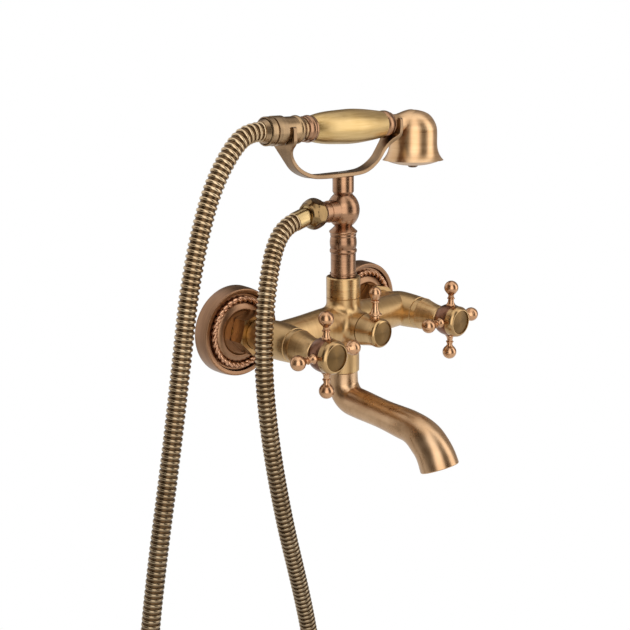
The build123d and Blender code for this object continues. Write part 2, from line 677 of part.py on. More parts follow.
def spoke():
    """Turned spoke: trumpet foot, thin stem, bead and ball."""
    foot = HANDLE_RADIUS - SPOKE_ROOT_DEPTH
    neck = SPOKE_BALL_CENTRE - SPOKE_BALL_RADIUS
    bead = 0.5
    return lathe(
        (SPOKE_ROOT_RADIUS, foot),
        (SPOKE_ROOT_RADIUS, HANDLE_RADIUS - 0.2),
        [
            (SPOKE_STEM_RADIUS + 0.5, HANDLE_RADIUS + 1.4),
            (SPOKE_STEM_RADIUS, (HANDLE_RADIUS + neck) / 2),
            (SPOKE_STEM_RADIUS, neck - 2 * bead - 0.8),
        ],
        ((SPOKE_STEM_RADIUS + bead, neck - bead - 0.8), (SPOKE_STEM_RADIUS, neck - 0.8)),
        [
            (SPOKE_STEM_RADIUS + 1.9, neck + 1.1),
            (SPOKE_BALL_RADIUS - 0.35, SPOKE_BALL_CENTRE - 1.8),
            (SPOKE_BALL_RADIUS, SPOKE_BALL_CENTRE + 0.5),
            (SPOKE_BALL_RADIUS - 1.4, SPOKE_BALL_CENTRE + SPOKE_BALL_RADIUS - 1.9),
            (0, SPOKE_BALL_CENTRE + SPOKE_BALL_RADIUS),
        ],
    )


def index_ring(x, radius, width, disc_radius, front):
    """Bevelled ring on the hub's face, with a ledge that carries the index disc."""
    rear = front - width
    ledge = front - INDEX_DISC_THICKNESS - 0.4
    ring = lathe(
        (radius, rear),
        (radius, front - 0.5 * width),
        ((radius - 0.7, front - 0.2 * width), (radius - INDEX_RING_BEVEL + 0.4, front)),
        (disc_radius + RUNNING, front),
        bore=disc_radius - INDEX_LEDGE,
    )
    recess = rod(disc_radius + RUNNING, ledge, front)
    return out_axis(x) * (ring - recess)


def index_disc(x, disc_radius, front):
    """Plain, slightly domed disc that snaps into the ring."""
    rear = front - INDEX_DISC_THICKNESS - 0.4
    disc = lathe(
        (disc_radius, rear),
        (disc_radius, front - 1.0),
        [(0.55 * disc_radius, front - 0.55), (0, front - 0.4)],
    )
    return out_axis(x) * disc


def handle_screw(x, front):
    """Pan-head screw that holds the hub on its spindle."""
    head = lathe(
        (SCREW_HEAD_RADIUS, front),
        (SCREW_HEAD_RADIUS, front + 0.6 * SCREW_HEAD_HEIGHT),
        (SCREW_HEAD_RADIUS - 0.8, front + SCREW_HEAD_HEIGHT),
    )
    slot = Pos(0, 0, front + SCREW_HEAD_HEIGHT) * Box(8, 1, 1.6)
    return out_axis(x) * (head + rod(SCREW_RADIUS, front - SCREW_LENGTH + 1, front) - slot)


TURNS = {"left": LEFT_HANDLE_TURN, "right": RIGHT_HANDLE_TURN}
for side_name, side in SIDES.items():
    x = side * HALF_VALVES
    turn = Axis((x, 0, 0), (0, -1, 0))
    ring_front = HANDLE_FRONT + INDEX_RING_WIDTH
    handle = {
        "spindle": spindle(x, BARREL_MOUTH - SPINDLE_DEPTH, HANDLE_FRONT - SPINDLE_RADIUS - SLIP),
        "handle_hub": handle_hub(x),
        "handle_spokes": Compound(
            [spoke_axis(x, count, SPOKE_COUNT) * spoke() for count in range(SPOKE_COUNT)]
        ),
        "index_ring": index_ring(
            x, INDEX_RING_RADIUS, INDEX_RING_WIDTH, INDEX_DISC_RADIUS, ring_front
        ),
        "index_disc": index_disc(x, INDEX_DISC_RADIUS, ring_front),
        "handle_screw": handle_screw(x, HANDLE_FRONT),
    }
    for name, piece in handle.items():
        write(f"{side_name}_{name}", piece.rotate(turn, TURNS[side_name]))


# ---------------------------------------------------------------- diverter
def diverter_cartridge():
    """Diverter valve screwed into the boss; its neck stands into the knob's pocket."""
    neck_end = BOSS_FRONT + DIVERTER_NECK_STANDOUT
    cartridge = lathe(
        (VALVE_CHAMBER_RADIUS - SLIP, VALVE_SEAT + FACE_GAP),
        (VALVE_CHAMBER_RADIUS - SLIP, BOSS_FRONT),
        (CARTRIDGE_NECK_RADIUS, BOSS_FRONT),
        (CARTRIDGE_NECK_RADIUS, neck_end),
    )
    hole = rod(SPINDLE_RADIUS + RUNNING, BOSS_FRONT - SPINDLE_DEPTH - FACE_GAP, neck_end)
    return out_axis(0) * (cartridge - hole)


def finial_axis():
    """Frame whose local Z rises from the diverter's axis through the finial."""
    return Plane(origin=(0, -FINIAL_OUT, 0), x_dir=(1, 0, 0), z_dir=(0, 0, 1))


def diverter_knob():
    """Tapered knob, hollow behind, with a flat on top for the finial."""
    knob = lathe(
        (DIVERTER_REAR_RADIUS - 0.5, DIVERTER_REAR),
        (DIVERTER_REAR_RADIUS, DIVERTER_REAR + 0.5),
        [
            (DIVERTER_REAR_RADIUS - 1.1, DIVERTER_REAR + 0.47 * DIVERTER_LENGTH),
            (DIVERTER_FRONT_RADIUS, DIVERTER_FRONT),
        ],
    )
    pocket = rod(DIVERTER_POCKET_RADIUS, DIVERTER_REAR, DIVERTER_REAR + DIVERTER_POCKET_DEPTH)
    socket = rod(SPINDLE_RADIUS + SLIP, DIVERTER_REAR, DIVERTER_FRONT - SPINDLE_RADIUS)
    screw_way = rod(SCREW_RADIUS + SLIP, DIVERTER_REAR, DIVERTER_FRONT)
    root = rod(FINIAL_ROOT_RADIUS + SLIP, DIVERTER_FRONT_RADIUS - FINIAL_ROOT_DEPTH, 20)
    knob = out_axis(0) * (knob - pocket - socket - screw_way)
    return knob - finial_axis() * root


def diverter_finial():
    """Turned lever: collar, trumpet, bead and an acorn tip."""
    root = DIVERTER_FRONT_RADIUS - FINIAL_ROOT_DEPTH
    tip = FINIAL_LENGTH
    return finial_axis() * lathe(
        (FINIAL_ROOT_RADIUS, root),
        (FINIAL_ROOT_RADIUS, root + FINIAL_ROOT_DEPTH + 2.6),
        (FINIAL_ROOT_RADIUS + 0.6, root + FINIAL_ROOT_DEPTH + 2.6),
        (
            (FINIAL_ROOT_RADIUS + 1.5, root + FINIAL_ROOT_DEPTH + 3.4),
            (FINIAL_ROOT_RADIUS + 0.9, root + FINIAL_ROOT_DEPTH + 4.2),
        ),
        [(2.9, 0.49 * tip), (2.3, 0.57 * tip), (2.2, 0.655 * tip)],
        ((3.4, 0.68 * tip), (2.3, 0.705 * tip)),
        [(3.4, 0.76 * tip), (4.7, 0.86 * tip), (3.3, 0.965 * tip), (0, tip)],
    )


write("diverter_cartridge", diverter_cartridge())
write(
    "diverter_spindle",
    spindle(0, BOSS_FRONT - SPINDLE_DEPTH, DIVERTER_FRONT - SPINDLE_RADIUS - SLIP),
)
write("diverter_knob", diverter_knob())
write("diverter_finial", diverter_finial())
write("diverter_screw", handle_screw(0, DIVERTER_FRONT))
diverter_face = DIVERTER_FRONT + DIVERTER_RING_WIDTH
write(
    "diverter_ring",
    index_ring(0, DIVERTER_RING_RADIUS, DIVERTER_RING_WIDTH, DIVERTER_DISC_RADIUS, diverter_face),
)
write("diverter_disc", index_disc(0, DIVERTER_DISC_RADIUS, diverter_face))


# ---------------------------------------------------------------- riser column
def collar_nut():
    """Round collar nut screwed on the body's neck; its lip traps the retaining ring."""
    edge = 0.7
    nut = lathe(
        (COLLAR_RADIUS - edge / 2, NECK_HEIGHT + SLIP),
        (COLLAR_RADIUS, NECK_HEIGHT + edge),
        (COLLAR_RADIUS, COLLAR_TOP - edge),
        (COLLAR_RADIUS - edge, COLLAR_TOP),
    )
    thread = rod(NECK_SPIGOT_RADIUS + SLIP, NECK_HEIGHT, COLLAR_TOP - COLLAR_LIP)
    mouth = rod(COLLAR_MOUTH_RADIUS, NECK_HEIGHT, COLLAR_TOP)
    return up_axis() * (nut - thread - mouth)


def retaining_ring():
    """Split ring that sits in the riser's groove."""
    groove = RISER_RADIUS - RISER_GROOVE_DEPTH
    ring = rod(RETAINER_RADIUS, 0, RETAINER_THICKNESS, groove + FACE_GAP)
    slot = Pos(0, RETAINER_RADIUS, RETAINER_THICKNESS / 2) * Box(
        RETAINER_SLOT, 2 * (RETAINER_RADIUS - groove + 1), 2 * RETAINER_THICKNESS
    )
    return up_axis(RETAINER_BASE) * (ring - slot)


def oring(seat_radius, height):
    """O-ring whose outside stays just short of the bore it runs in, its section an octagon."""
    centre = seat_radius + RUNNING - ORING_SQUEEZE - ORING_RADIUS
    flat = ORING_RADIUS * math.tan(math.pi / 8)
    ring = lathe(
        (centre + flat, -ORING_RADIUS),
        (centre + ORING_RADIUS, -flat),
        (centre + ORING_RADIUS, flat),
        (centre + flat, ORING_RADIUS),
        (centre - flat, ORING_RADIUS),
        (centre - ORING_RADIUS, flat),
        bore=centre - ORING_RADIUS,
    )
    return up_axis(height) * ring


def oring_groove(seat_radius, height):
    """The groove to cut for that O-ring."""
    depth = seat_radius + RUNNING - ORING_SQUEEZE - 2 * ORING_RADIUS - SLIP
    half = ORING_RADIUS + 0.15
    return up_axis(height) * rod(seat_radius + 1, -half, half, depth)


RISER_ORINGS = [RISER_FOOT + 4.5, RISER_FOOT + 10.0]


def riser_column():
    """Turned column with its beads and rings, the ball, and the hose outlet on its side."""
    wide = BEAD_RADIUS - RISER_RADIUS
    column = lathe(
        (RISER_RADIUS, RISER_FOOT),
        (RISER_RADIUS, LIP_HEIGHT - 0.6),
        ((LIP_RADIUS, LIP_HEIGHT), (RISER_RADIUS, LIP_HEIGHT + 0.6)),
        (RISER_RADIUS, BEAD_HEIGHT - 1.9),
        ((BEAD_RADIUS, BEAD_HEIGHT), (RISER_RADIUS, BEAD_HEIGHT + 1.9)),
        (
            (BARREL_BAND_RADIUS, BARREL_BAND_HEIGHT),
            (RISER_RADIUS, 2 * BARREL_BAND_HEIGHT - BEAD_HEIGHT - 1.9),
        ),
        (RISER_RADIUS + 0.3, CROWN_HEIGHT - 3.0),
        (RISER_RADIUS + 0.3, CROWN_HEIGHT - 1.6),
        (CROWN_RADIUS, CROWN_HEIGHT - 0.3),
        (CROWN_RADIUS, CROWN_HEIGHT + 0.3),
        (RISER_RADIUS + wide / 4, CROWN_HEIGHT + 1.2),
        (BALL_FOOT_RADIUS, BALL_FOOT_HEIGHT),
        ((BALL_RADIUS, BALL_HEIGHT), (POST_FOOT_RADIUS, BALL_TOP_HEIGHT)),
    )
    bore = rod(RISER_BORE, RISER_FOOT, BALL_FOOT_HEIGHT - 2) + rod(
        HOSE_BORE, BALL_FOOT_HEIGHT - 3, BALL_HEIGHT
    )
    post_socket = rod(
        POST_SPIGOT_RADIUS + SLIP, BALL_TOP_HEIGHT - POST_SPIGOT_LENGTH - 0.2, BALL_TOP_HEIGHT
    )
    ring_groove = rod(
        RISER_RADIUS + 1,
        RETAINER_BASE - FACE_GAP,
        RETAINER_BASE + RETAINER_THICKNESS + FACE_GAP,
        RISER_RADIUS - RISER_GROOVE_DEPTH,
    )
    column = up_axis() * (column - bore - post_socket - ring_groove)
    for height in RISER_ORINGS:
        column = column - oring_groove(RISER_RADIUS, height)
    outlet = lathe(
        (OUTLET_NECK_RADIUS, 0.5 * BALL_RADIUS),
        (OUTLET_NECK_RADIUS, OUTLET_NECK_REACH - 0.8),
        (OUTLET_NECK_RADIUS - 0.8, OUTLET_NECK_REACH),
        (OUTLET_STEP_RADIUS, OUTLET_NECK_REACH),
        (OUTLET_STEP_RADIUS, OUTLET_THREAD_START),
        (OUTLET_THREAD_RADIUS, OUTLET_THREAD_START),
        (OUTLET_THREAD_RADIUS, HOSE_NUT_START + OUTLET_THREAD_LENGTH),
    )
    outlet_bore = rod(HOSE_BORE, 0, HOSE_NUT_START + OUTLET_THREAD_LENGTH)
    outlet_axis = left_axis(0, BALL_HEIGHT)
    return column + outlet_axis * outlet - outlet_axis * outlet_bore


def cradle_post():
    """Short post screwed into the ball, tapped on top for the cradle's screw."""
    post = lathe(
        (POST_SPIGOT_RADIUS, BALL_TOP_HEIGHT - POST_SPIGOT_LENGTH),
        (POST_SPIGOT_RADIUS, BALL_TOP_HEIGHT),
        (POST_FOOT_RADIUS, BALL_TOP_HEIGHT),
        (POST_RADIUS, BALL_TOP_HEIGHT + 2.0),
        (POST_RADIUS, STRAP_HEIGHT),
    )
    tapped = rod(CRADLE_SCREW_RADIUS + SLIP, STRAP_HEIGHT - CRADLE_SCREW_LENGTH, STRAP_HEIGHT)
    return up_axis() * (post - tapped)


write("collar_nut", collar_nut())
write("retaining_ring", retaining_ring())
write("riser_column", riser_column())
write("riser_o_rings", Compound([oring(RISER_RADIUS, height) for height in RISER_ORINGS]))
write("cradle_post", cradle_post())


# ---------------------------------------------------------------- hose ends
def ferrule_axis():
    """Frame of the lower ferrule, drooping about the centre of its spherical seat."""
    droop = math.radians(FERRULE_DROOP)
    along = (-math.cos(droop), 0, -math.sin(droop))
    return Plane(
        origin=(-FERRULE_CENTRE, -BODY_OUT, BALL_HEIGHT), x_dir=(0, -1, 0), z_dir=along
    )


def lower_hose_nut():
    """Hexagon hose nut, heavily rounded at both ends."""
    end = HOSE_NUT_START + HOSE_NUT_LENGTH
    rounded = lathe(
        (0.82 * HOSE_NUT_RADIUS, HOSE_NUT_START),
        ((0.95 * HOSE_NUT_RADIUS, HOSE_NUT_START + 1.2), (HOSE_NUT_RADIUS, HOSE_NUT_START + 3.6)),
        (HOSE_NUT_RADIUS, end - 4.2),
        ((0.95 * HOSE_NUT_RADIUS, end - 1.5), (0.8 * HOSE_NUT_RADIUS, end)),
    )
    body = hexagon(HOSE_NUT_FLATS, HOSE_NUT_START, end) & rounded
    thread = rod(OUTLET_THREAD_RADIUS + SLIP, HOSE_NUT_START, end - HOSE_NUT_LIP)
    mouth = rod(FERRULE_SEAT_RADIUS - 0.3, HOSE_NUT_START, end)
    return left_axis(0, BALL_HEIGHT) * (body - thread - mouth)


def lower_hose_ferrule():
    """Ferrule with a ball-shaped shoulder inside the nut and a socket for the hose."""
    rear = -0.9
    front = 1.9

    def seat(station):
        return (math.sqrt(FERRULE_SEAT_RADIUS**2 - station**2), station)

    ferrule = lathe(
        seat(rear),
        ((FERRULE_SEAT_RADIUS, 0), seat(front)),
        (FERRULE_NECK_RADIUS, front + 0.6),
        (FERRULE_NECK_RADIUS, front + 4.4),
        (FERRULE_RADIUS, front + 5.1),
        (FERRULE_RADIUS, FERRULE_REACH),
        bore=HOSE_BORE,
    )
    return ferrule_axis() * ferrule


def hose_washer(start):
    return rod(OUTLET_THREAD_RADIUS - 0.2, start, start + HOSE_WASHER_THICKNESS, HOSE_BORE)


write("lower_hose_nut", lower_hose_nut())
write("lower_hose_ferrule", lower_hose_ferrule())
write(
    "lower_hose_washer",
    left_axis(0, BALL_HEIGHT) * hose_washer(HOSE_NUT_START + OUTLET_THREAD_LENGTH),
)


# ---------------------------------------------------------------- cradle
def beside(edge, shift):
    """The curve that runs beside an edge of the XZ plane, shift to its left."""
    points = []
    for share in (0, 0.25, 0.5, 0.75, 1):
        along = edge % share
        points.append(edge @ share + Vector(-along.Z, 0, along.X) * shift)
    return Edge.make_spline(points, [edge % 0, edge % 1])


def strap_side():
    """Side view of the strap: two tines, two swept arms and the flat seat on the post."""
    half = STRAP_THICKNESS / 2
    seat = STRAP_HEIGHT + half
    left = half - LEFT_FORK_REACH
    right = RIGHT_FORK_REACH - half
    left_rise = HANDSET_RISE - half - LEFT_TINE_DROP
    right_rise = HANDSET_RISE - half - RIGHT_TINE_DROP
    left_root = Vector(left, 0, seat + left_rise)
    right_root = Vector(right, 0, seat + right_rise)
    left_seat = Vector(-SEAT_HALF_LENGTH - 8, 0, seat)
    right_seat = Vector(SEAT_HALF_LENGTH - 5, 0, seat)
    left_knee = Vector(0.74 * left, 0, seat + 0.3 * left_rise)
    right_knee = Vector(0.55 * right, 0, seat + 0.2 * right_rise)
    right_shin = Vector(0.83 * right, 0, seat + 0.68 * right_rise)
    centreline = [
        Edge.make_line(Vector(left, 0, HANDSET_HEIGHT + LEFT_TIP_RISE), left_root),
        Edge.make_spline([left_root, left_knee, left_seat], [Vector(0, 0, -1), Vector(1, 0, 0)]),
        Edge.make_line(left_seat, right_seat),
        Edge.make_spline(
            [right_seat, right_knee, right_shin, right_root], [Vector(1, 0, 0), Vector(0, 0, 1)]
        ),
        Edge.make_line(right_root, Vector(right, 0, HANDSET_HEIGHT + RIGHT_TIP_RISE)),
    ]
    upper = [beside(edge, half) for edge in centreline]
    lower = [beside(edge, -half) for edge in centreline]
    ends = [
        Edge.make_line(upper[0] @ 0, lower[0] @ 0),
        Edge.make_line(upper[-1] @ 1, lower[-1] @ 1),
    ]
    return Face(Wire(upper + lower + ends))


def fork_front(width, notch, flare_drop, tip_rise):
    """End view of one half of the strap: seat, waisted arm, and the fork with its notch."""
    seat_half = STRAP_CENTRE_WIDTH / 2
    arm_half = STRAP_ARM_WIDTH / 2
    base = STRAP_HEIGHT - 1
    corner = 2.0
    top = HANDSET_HEIGHT + tip_rise
    flare_end = HANDSET_HEIGHT - flare_drop
    flare_start = flare_end - FLARE_HEIGHT
    right_edge = [
        Edge.make_line((0, seat_half, base), (0, seat_half, STRAP_HEIGHT + 2)),
        Edge.make_spline(
            [Vector(0, seat_half, STRAP_HEIGHT + 2), Vector(0, arm_half, STRAP_HEIGHT + 9)],
            [Vector(0, 0, 1), Vector(0, 0, 1)],
        ),
        Edge.make_line((0, arm_half, STRAP_HEIGHT + 9), (0, arm_half, flare_start)),
        Edge.make_spline(
            [Vector(0, arm_half, flare_start), Vector(0, width / 2, flare_end)],
            [Vector(0, 0, 1), Vector(0, 0, 1)],
        ),
        Edge.make_line((0, width / 2, flare_end), (0, width / 2, top - corner)),
        Edge.make_line((0, width / 2, top - corner), (0, width / 2 - corner, top)),
    ]
    left_edge = [edge.mirror(Plane.XZ) for edge in right_edge]
    ends = [
        Edge.make_line((0, -seat_half, base), (0, seat_half, base)),
        Edge.make_line((0, corner - width / 2, top), (0, width / 2 - corner, top)),
    ]
    face = Face(Wire(right_edge + left_edge + ends))
    view = extrude(face, 2 * LEFT_FORK_REACH, dir=(1, 0, 0))
    slot = Pos(0, 0, HANDSET_HEIGHT + notch) * Box(300, 2 * notch, 2 * notch)
    round_floor = right_axis(-150, HANDSET_HEIGHT) * rod(notch, 0, 300)
    return Pos(0, -BODY_OUT, 0) * (view - slot) - round_floor


def cradle_yoke():
    """One strap, bent in the XZ plane, waisted along its arms and forked at both ends."""
    strap = Pos(0, -BODY_OUT, 0) * extrude(strap_side(), FORK_WIDTH, both=True)
    left_view = fork_front(FORK_WIDTH, fork_notch("left"), LEFT_FLARE_DROP, LEFT_TIP_RISE)
    right_view = fork_front(
        RIGHT_FORK_WIDTH, fork_notch("right"), RIGHT_FLARE_DROP, RIGHT_TIP_RISE
    )
    left_half = strap & Pos(-2 * LEFT_FORK_REACH, 0, 0) * left_view
    right_half = strap & right_view
    screw_hole = rod(CRADLE_SCREW_RADIUS + SLIP, STRAP_HEIGHT, STRAP_HEIGHT + STRAP_THICKNESS)
    return left_half + right_half - up_axis() * screw_hole - cradle_screw_head(SLIP)


def fork_notch(side_name):
    """Half the width of a fork's notch: what it carries, with room to lift out."""
    carried = {"left": TAIL_RADIUS, "right": NECK_START_RADIUS}
    return carried[side_name] + FACE_GAP


def cradle_screw_head(room=0.0):
    """Countersunk head, flush with the strap's upper face."""
    top = STRAP_HEIGHT + STRAP_THICKNESS
    depth = CRADLE_SCREW_RADIUS
    return up_axis() * lathe(
        (CRADLE_SCREW_RADIUS + room, top - depth),
        (2 * CRADLE_SCREW_RADIUS + room, top),
    )


def cradle_screw():
    shank = rod(CRADLE_SCREW_RADIUS, STRAP_HEIGHT - CRADLE_SCREW_LENGTH + 1, STRAP_HEIGHT + 1)
    slot = Pos(0, 0, STRAP_HEIGHT + STRAP_THICKNESS) * Box(12, 1.2, 1.6)
    return cradle_screw_head() + up_axis() * shank - up_axis() * slot


write("cradle_yoke", cradle_yoke())
write("cradle_screw", cradle_screw())


# ---------------------------------------------------------------- hand shower
def handset_axis():
    """Frame of the hand shower, its local Z along +X from the middle of the faucet."""
    return right_axis(0, HANDSET_HEIGHT)


HOSE_END_START = TAIL_START - 1.9 - HOSE_END_NUT_LENGTH
HOSE_END_TIP = HOSE_END_START - HOSE_END_CONE
HOSE_END_FLANGE = HOSE_END_START + HOSE_END_LIP
HOSE_END_SEAT = HOSE_END_FLANGE + HOSE_END_FLANGE_THICKNESS
TAIL_THREAD_START = HOSE_END_SEAT + HOSE_WASHER_THICKNESS


def upper_hose_nut():
    """Round knurled-looking nut that turns on the tail's thread."""
    edge = 0.5
    rear = HOSE_END_START
    front = TAIL_START - 0.1
    nut = lathe(
        (HOSE_END_NUT_RADIUS - 0.7, rear),
        (HOSE_END_NUT_RADIUS - 0.2, rear + edge),
        (HOSE_END_NUT_RADIUS - 0.2, rear + 2.2),
        (HOSE_END_NUT_RADIUS, rear + 2.7),
        (HOSE_END_NUT_RADIUS, front - edge),
        (HOSE_END_NUT_RADIUS - edge, front),
    )
    thread = rod(OUTLET_THREAD_RADIUS + SLIP, HOSE_END_FLANGE - FACE_GAP / 3, front)
    mouth = rod(HOSE_RADIUS + 0.2, rear, front)
    return handset_axis() * (nut - thread - mouth)


def upper_hose_ferrule():
    """Cone that closes the hose's end, held in the nut by its flange."""
    cone = lathe(
        (HOSE_RADIUS + 0.5, HOSE_END_TIP),
        (HOSE_RADIUS + 1.8, HOSE_END_START - SLIP),
        (HOSE_RADIUS + 0.15, HOSE_END_START - SLIP),
        (HOSE_RADIUS + 0.15, HOSE_END_FLANGE),
        (OUTLET_THREAD_RADIUS - 0.1, HOSE_END_FLANGE),
        (OUTLET_THREAD_RADIUS - 0.1, HOSE_END_SEAT),
        bore=HOSE_BORE,
    )
    return handset_axis() * cone


def handset_tail():
    """Rear fitting: thread, collar with its bead, and the waist behind the front collar."""
    tail = lathe(
        (OUTLET_THREAD_RADIUS, TAIL_THREAD_START),
        (OUTLET_THREAD_RADIUS, TAIL_START),
        (TAIL_RADIUS - 0.3, TAIL_START),
        (TAIL_RADIUS, TAIL_START + 0.4),
        (TAIL_RADIUS, TAIL_END - 6.0),
        ((TAIL_BEAD_RADIUS, TAIL_END - 4.0), (TAIL_RADIUS - 0.1, TAIL_END - 1.4)),
        (HANDLE_GROOVE_RADIUS, TAIL_END + 0.6),
        (HANDLE_GROOVE_RADIUS, FRONT_COLLAR_START),
    )
    bore = rod(WATER_TUBE_RADIUS + SLIP, TAIL_END - WATER_TUBE_LAP, FRONT_COLLAR_START)
    waterway = rod(WATER_TUBE_BORE, TAIL_THREAD_START, TAIL_END)
    return handset_axis() * (tail - bore - waterway)


def front_collar():
    """Ring between the tail and the grip."""
    length = GRIP_START - FRONT_COLLAR_START
    collar = lathe(
        (HANDLE_GROOVE_RADIUS + 0.5, FRONT_COLLAR_START),
        (GRIP_REAR_RADIUS - 0.1, FRONT_COLLAR_START + 0.7),
        (GRIP_REAR_RADIUS - 0.1, FRONT_COLLAR_START + 0.35 * length),
        (
            (GRIP_REAR_RADIUS + 0.6, FRONT_COLLAR_START + 0.6 * length),
            (GRIP_REAR_RADIUS - 0.1, FRONT_COLLAR_START + 0.85 * length),
        ),
        (GRIP_REAR_RADIUS - 0.1, GRIP_START),
        bore=WATER_TUBE_RADIUS + SLIP,
    )
    return handset_axis() * collar


def grip_barrel():
    """Barrel-shaped grip, a turned shell over the water tube."""
    rear = GRIP_START + 0.1
    front = GRIP_END - 0.1
    outer = lathe(
        (GRIP_REAR_RADIUS, rear),
        [
            (GRIP_REAR_RADIUS + 2.0, GRIP_START + 0.16 * (GRIP_CROWN - GRIP_START) + 4),
            (GRIP_RADIUS - 0.4, GRIP_CROWN - 11),
            (GRIP_RADIUS, GRIP_CROWN),
            (GRIP_RADIUS - 0.9, GRIP_CROWN + 18),
            (GRIP_FRONT_RADIUS, front),
        ],
    )
    wall = 2.0
    hollow = rod(GRIP_REAR_RADIUS - wall, rear + wall, front - wall)
    way = rod(WATER_TUBE_RADIUS + SLIP, rear, front)
    return handset_axis() * (outer - hollow - way)


END_RING_END = GRIP_END + END_RING_LENGTH


def end_ring():
    """Rounded ring between the grip and the bell's neck."""
    ring = lathe(
        (GRIP_FRONT_RADIUS - 0.6, GRIP_END),
        (
            (END_RING_RADIUS, GRIP_END + 0.42 * END_RING_LENGTH),
            (GRIP_REAR_RADIUS - 0.1, END_RING_END - 1.4),
        ),
        ((GRIP_REAR_RADIUS, END_RING_END - 0.7), (GRIP_REAR_RADIUS - 0.6, END_RING_END)),
        bore=WATER_TUBE_RADIUS + SLIP,
    )
    return handset_axis() * ring


def water_tube():
    """Tube through the grip; the tail and the bell screw onto its ends."""
    start = TAIL_END - WATER_TUBE_LAP
    tube = rod(WATER_TUBE_RADIUS, start, END_RING_END + WATER_TUBE_TIP, WATER_TUBE_BORE)
    return handset_axis() * tube


def bell_axis(z=0.0):
    return Plane(origin=(BELL_CENTRE, -BODY_OUT, z), x_dir=(1, 0, 0), z_dir=(0, 0, 1))


def bell_profile(inset, foot):
    """The bell's turned shape, drawn in by a wall's thickness for its inside."""
    shoulder = HANDSET_HEIGHT
    body = BELL_BODY_RADIUS - inset
    mouth = BELL_MOUTH_RADIUS - inset
    return lathe(
        (mouth, foot),
        [
            (body + 2.4, BELL_MOUTH + 3.9),
            (body + 0.7, BELL_MOUTH + 8.0),
            (body, BELL_MOUTH + 12.1),
            (body - 0.2, BELL_MOUTH + 20.2),
            (body - 1.0, shoulder - 3.0),
            (body - 3.2, shoulder + 1.8),
            (body - 6.5, shoulder + 5.9),
            (body - 10.6, shoulder + 8.3 - 0.4 * inset),
            (0, BELL_TOP - inset),
        ],
    )


def shower_bell():
    """Hollow bell with its side neck, blended into one casting."""
    neck = lathe(
        (NECK_START_RADIUS + 1.0, END_RING_END + FACE_GAP / 3),
        (NECK_START_RADIUS + 1.0, END_RING_END + 1.2),
        (NECK_START_RADIUS, END_RING_END + 2.0),
        (NECK_START_RADIUS, END_RING_END + 9.0),
        [
            (NECK_START_RADIUS + 1.0, END_RING_END + 14.5),
            (NECK_END_RADIUS, END_RING_END + 19.0),
            (NECK_END_RADIUS + 1.2, BELL_CENTRE - 3),
        ],
    )
    bell = bell_axis() * bell_profile(0, BELL_MOUTH) + handset_axis() * neck
    cavity = bell_axis() * bell_profile(BELL_WALL, BELL_MOUTH)
    tube_socket = rod(WATER_TUBE_RADIUS + SLIP, END_RING_END, END_RING_END + WATER_TUBE_TIP)
    waterway = rod(WATER_TUBE_BORE, END_RING_END, BELL_CENTRE - BELL_POST_RADIUS - 2)
    post = rod(BELL_POST_RADIUS, BELL_MOUTH + SPRAY_PLATE_EDGE, BELL_TOP - BELL_WALL / 2)
    thread = rod(SCREW_RADIUS + SLIP, BELL_MOUTH, BELL_MOUTH + SCREW_LENGTH)
    shell = bell - cavity - handset_axis() * (tube_socket + waterway)
    return shell + bell_axis() * (post - thread)


def spray_plate():
    """Bulging spray plate, pushed into the bell's mouth."""
    radius = BELL_MOUTH_RADIUS - BELL_WALL - SPRAY_PLATE_GAP
    plate = lathe(
        (SPRAY_NUB_RADIUS, BELL_MOUTH - SPRAY_PLATE_BULGE),
        (
            (0.6 * radius, BELL_MOUTH - 0.72 * SPRAY_PLATE_BULGE),
            (radius, BELL_MOUTH),
        ),
        (radius - 1.2, BELL_MOUTH + SPRAY_PLATE_EDGE),
    )
    hole = rod(SCREW_RADIUS + SLIP, BELL_MOUTH - 2 * SPRAY_PLATE_BULGE, BELL_MOUTH + 3)
    return bell_axis() * (plate - hole)


def spray_plate_screw():
    """Cap screw in the middle of the spray plate."""
    face = BELL_MOUTH - SPRAY_PLATE_BULGE
    screw = lathe(
        (SPRAY_NUB_RADIUS - 1.2, face - 1.7),
        (SPRAY_NUB_RADIUS, face - 0.9),
        (SPRAY_NUB_RADIUS, face),
        (SCREW_RADIUS, face),
        (SCREW_RADIUS, face + SCREW_LENGTH),
    )
    return bell_axis() * screw


write("upper_hose_nut", upper_hose_nut())
write("upper_hose_ferrule", upper_hose_ferrule())
write("upper_hose_washer", handset_axis() * hose_washer(HOSE_END_SEAT))
write("handset_tail", handset_tail())
write("handset_front_collar", front_collar())
write("handset_grip", grip_barrel())
write("handset_end_ring", end_ring())
write("handset_water_tube", water_tube())
write("shower_bell", shower_bell())
write("spray_plate", spray_plate())
write("spray_plate_screw", spray_plate_screw())


# ---------------------------------------------------------------- tub spout
SPOUT_ELBOW_TURN = 90 - SPOUT_SLOPE
SPOUT_HOOK_TURN = 90 - SPOUT_SLOPE - SPOUT_MOUTH_TILT
SPOUT_ORINGS = (-SPOUT_SOCKET_ROOF - 4.0, -SPOUT_SOCKET_ROOF - 9.5)


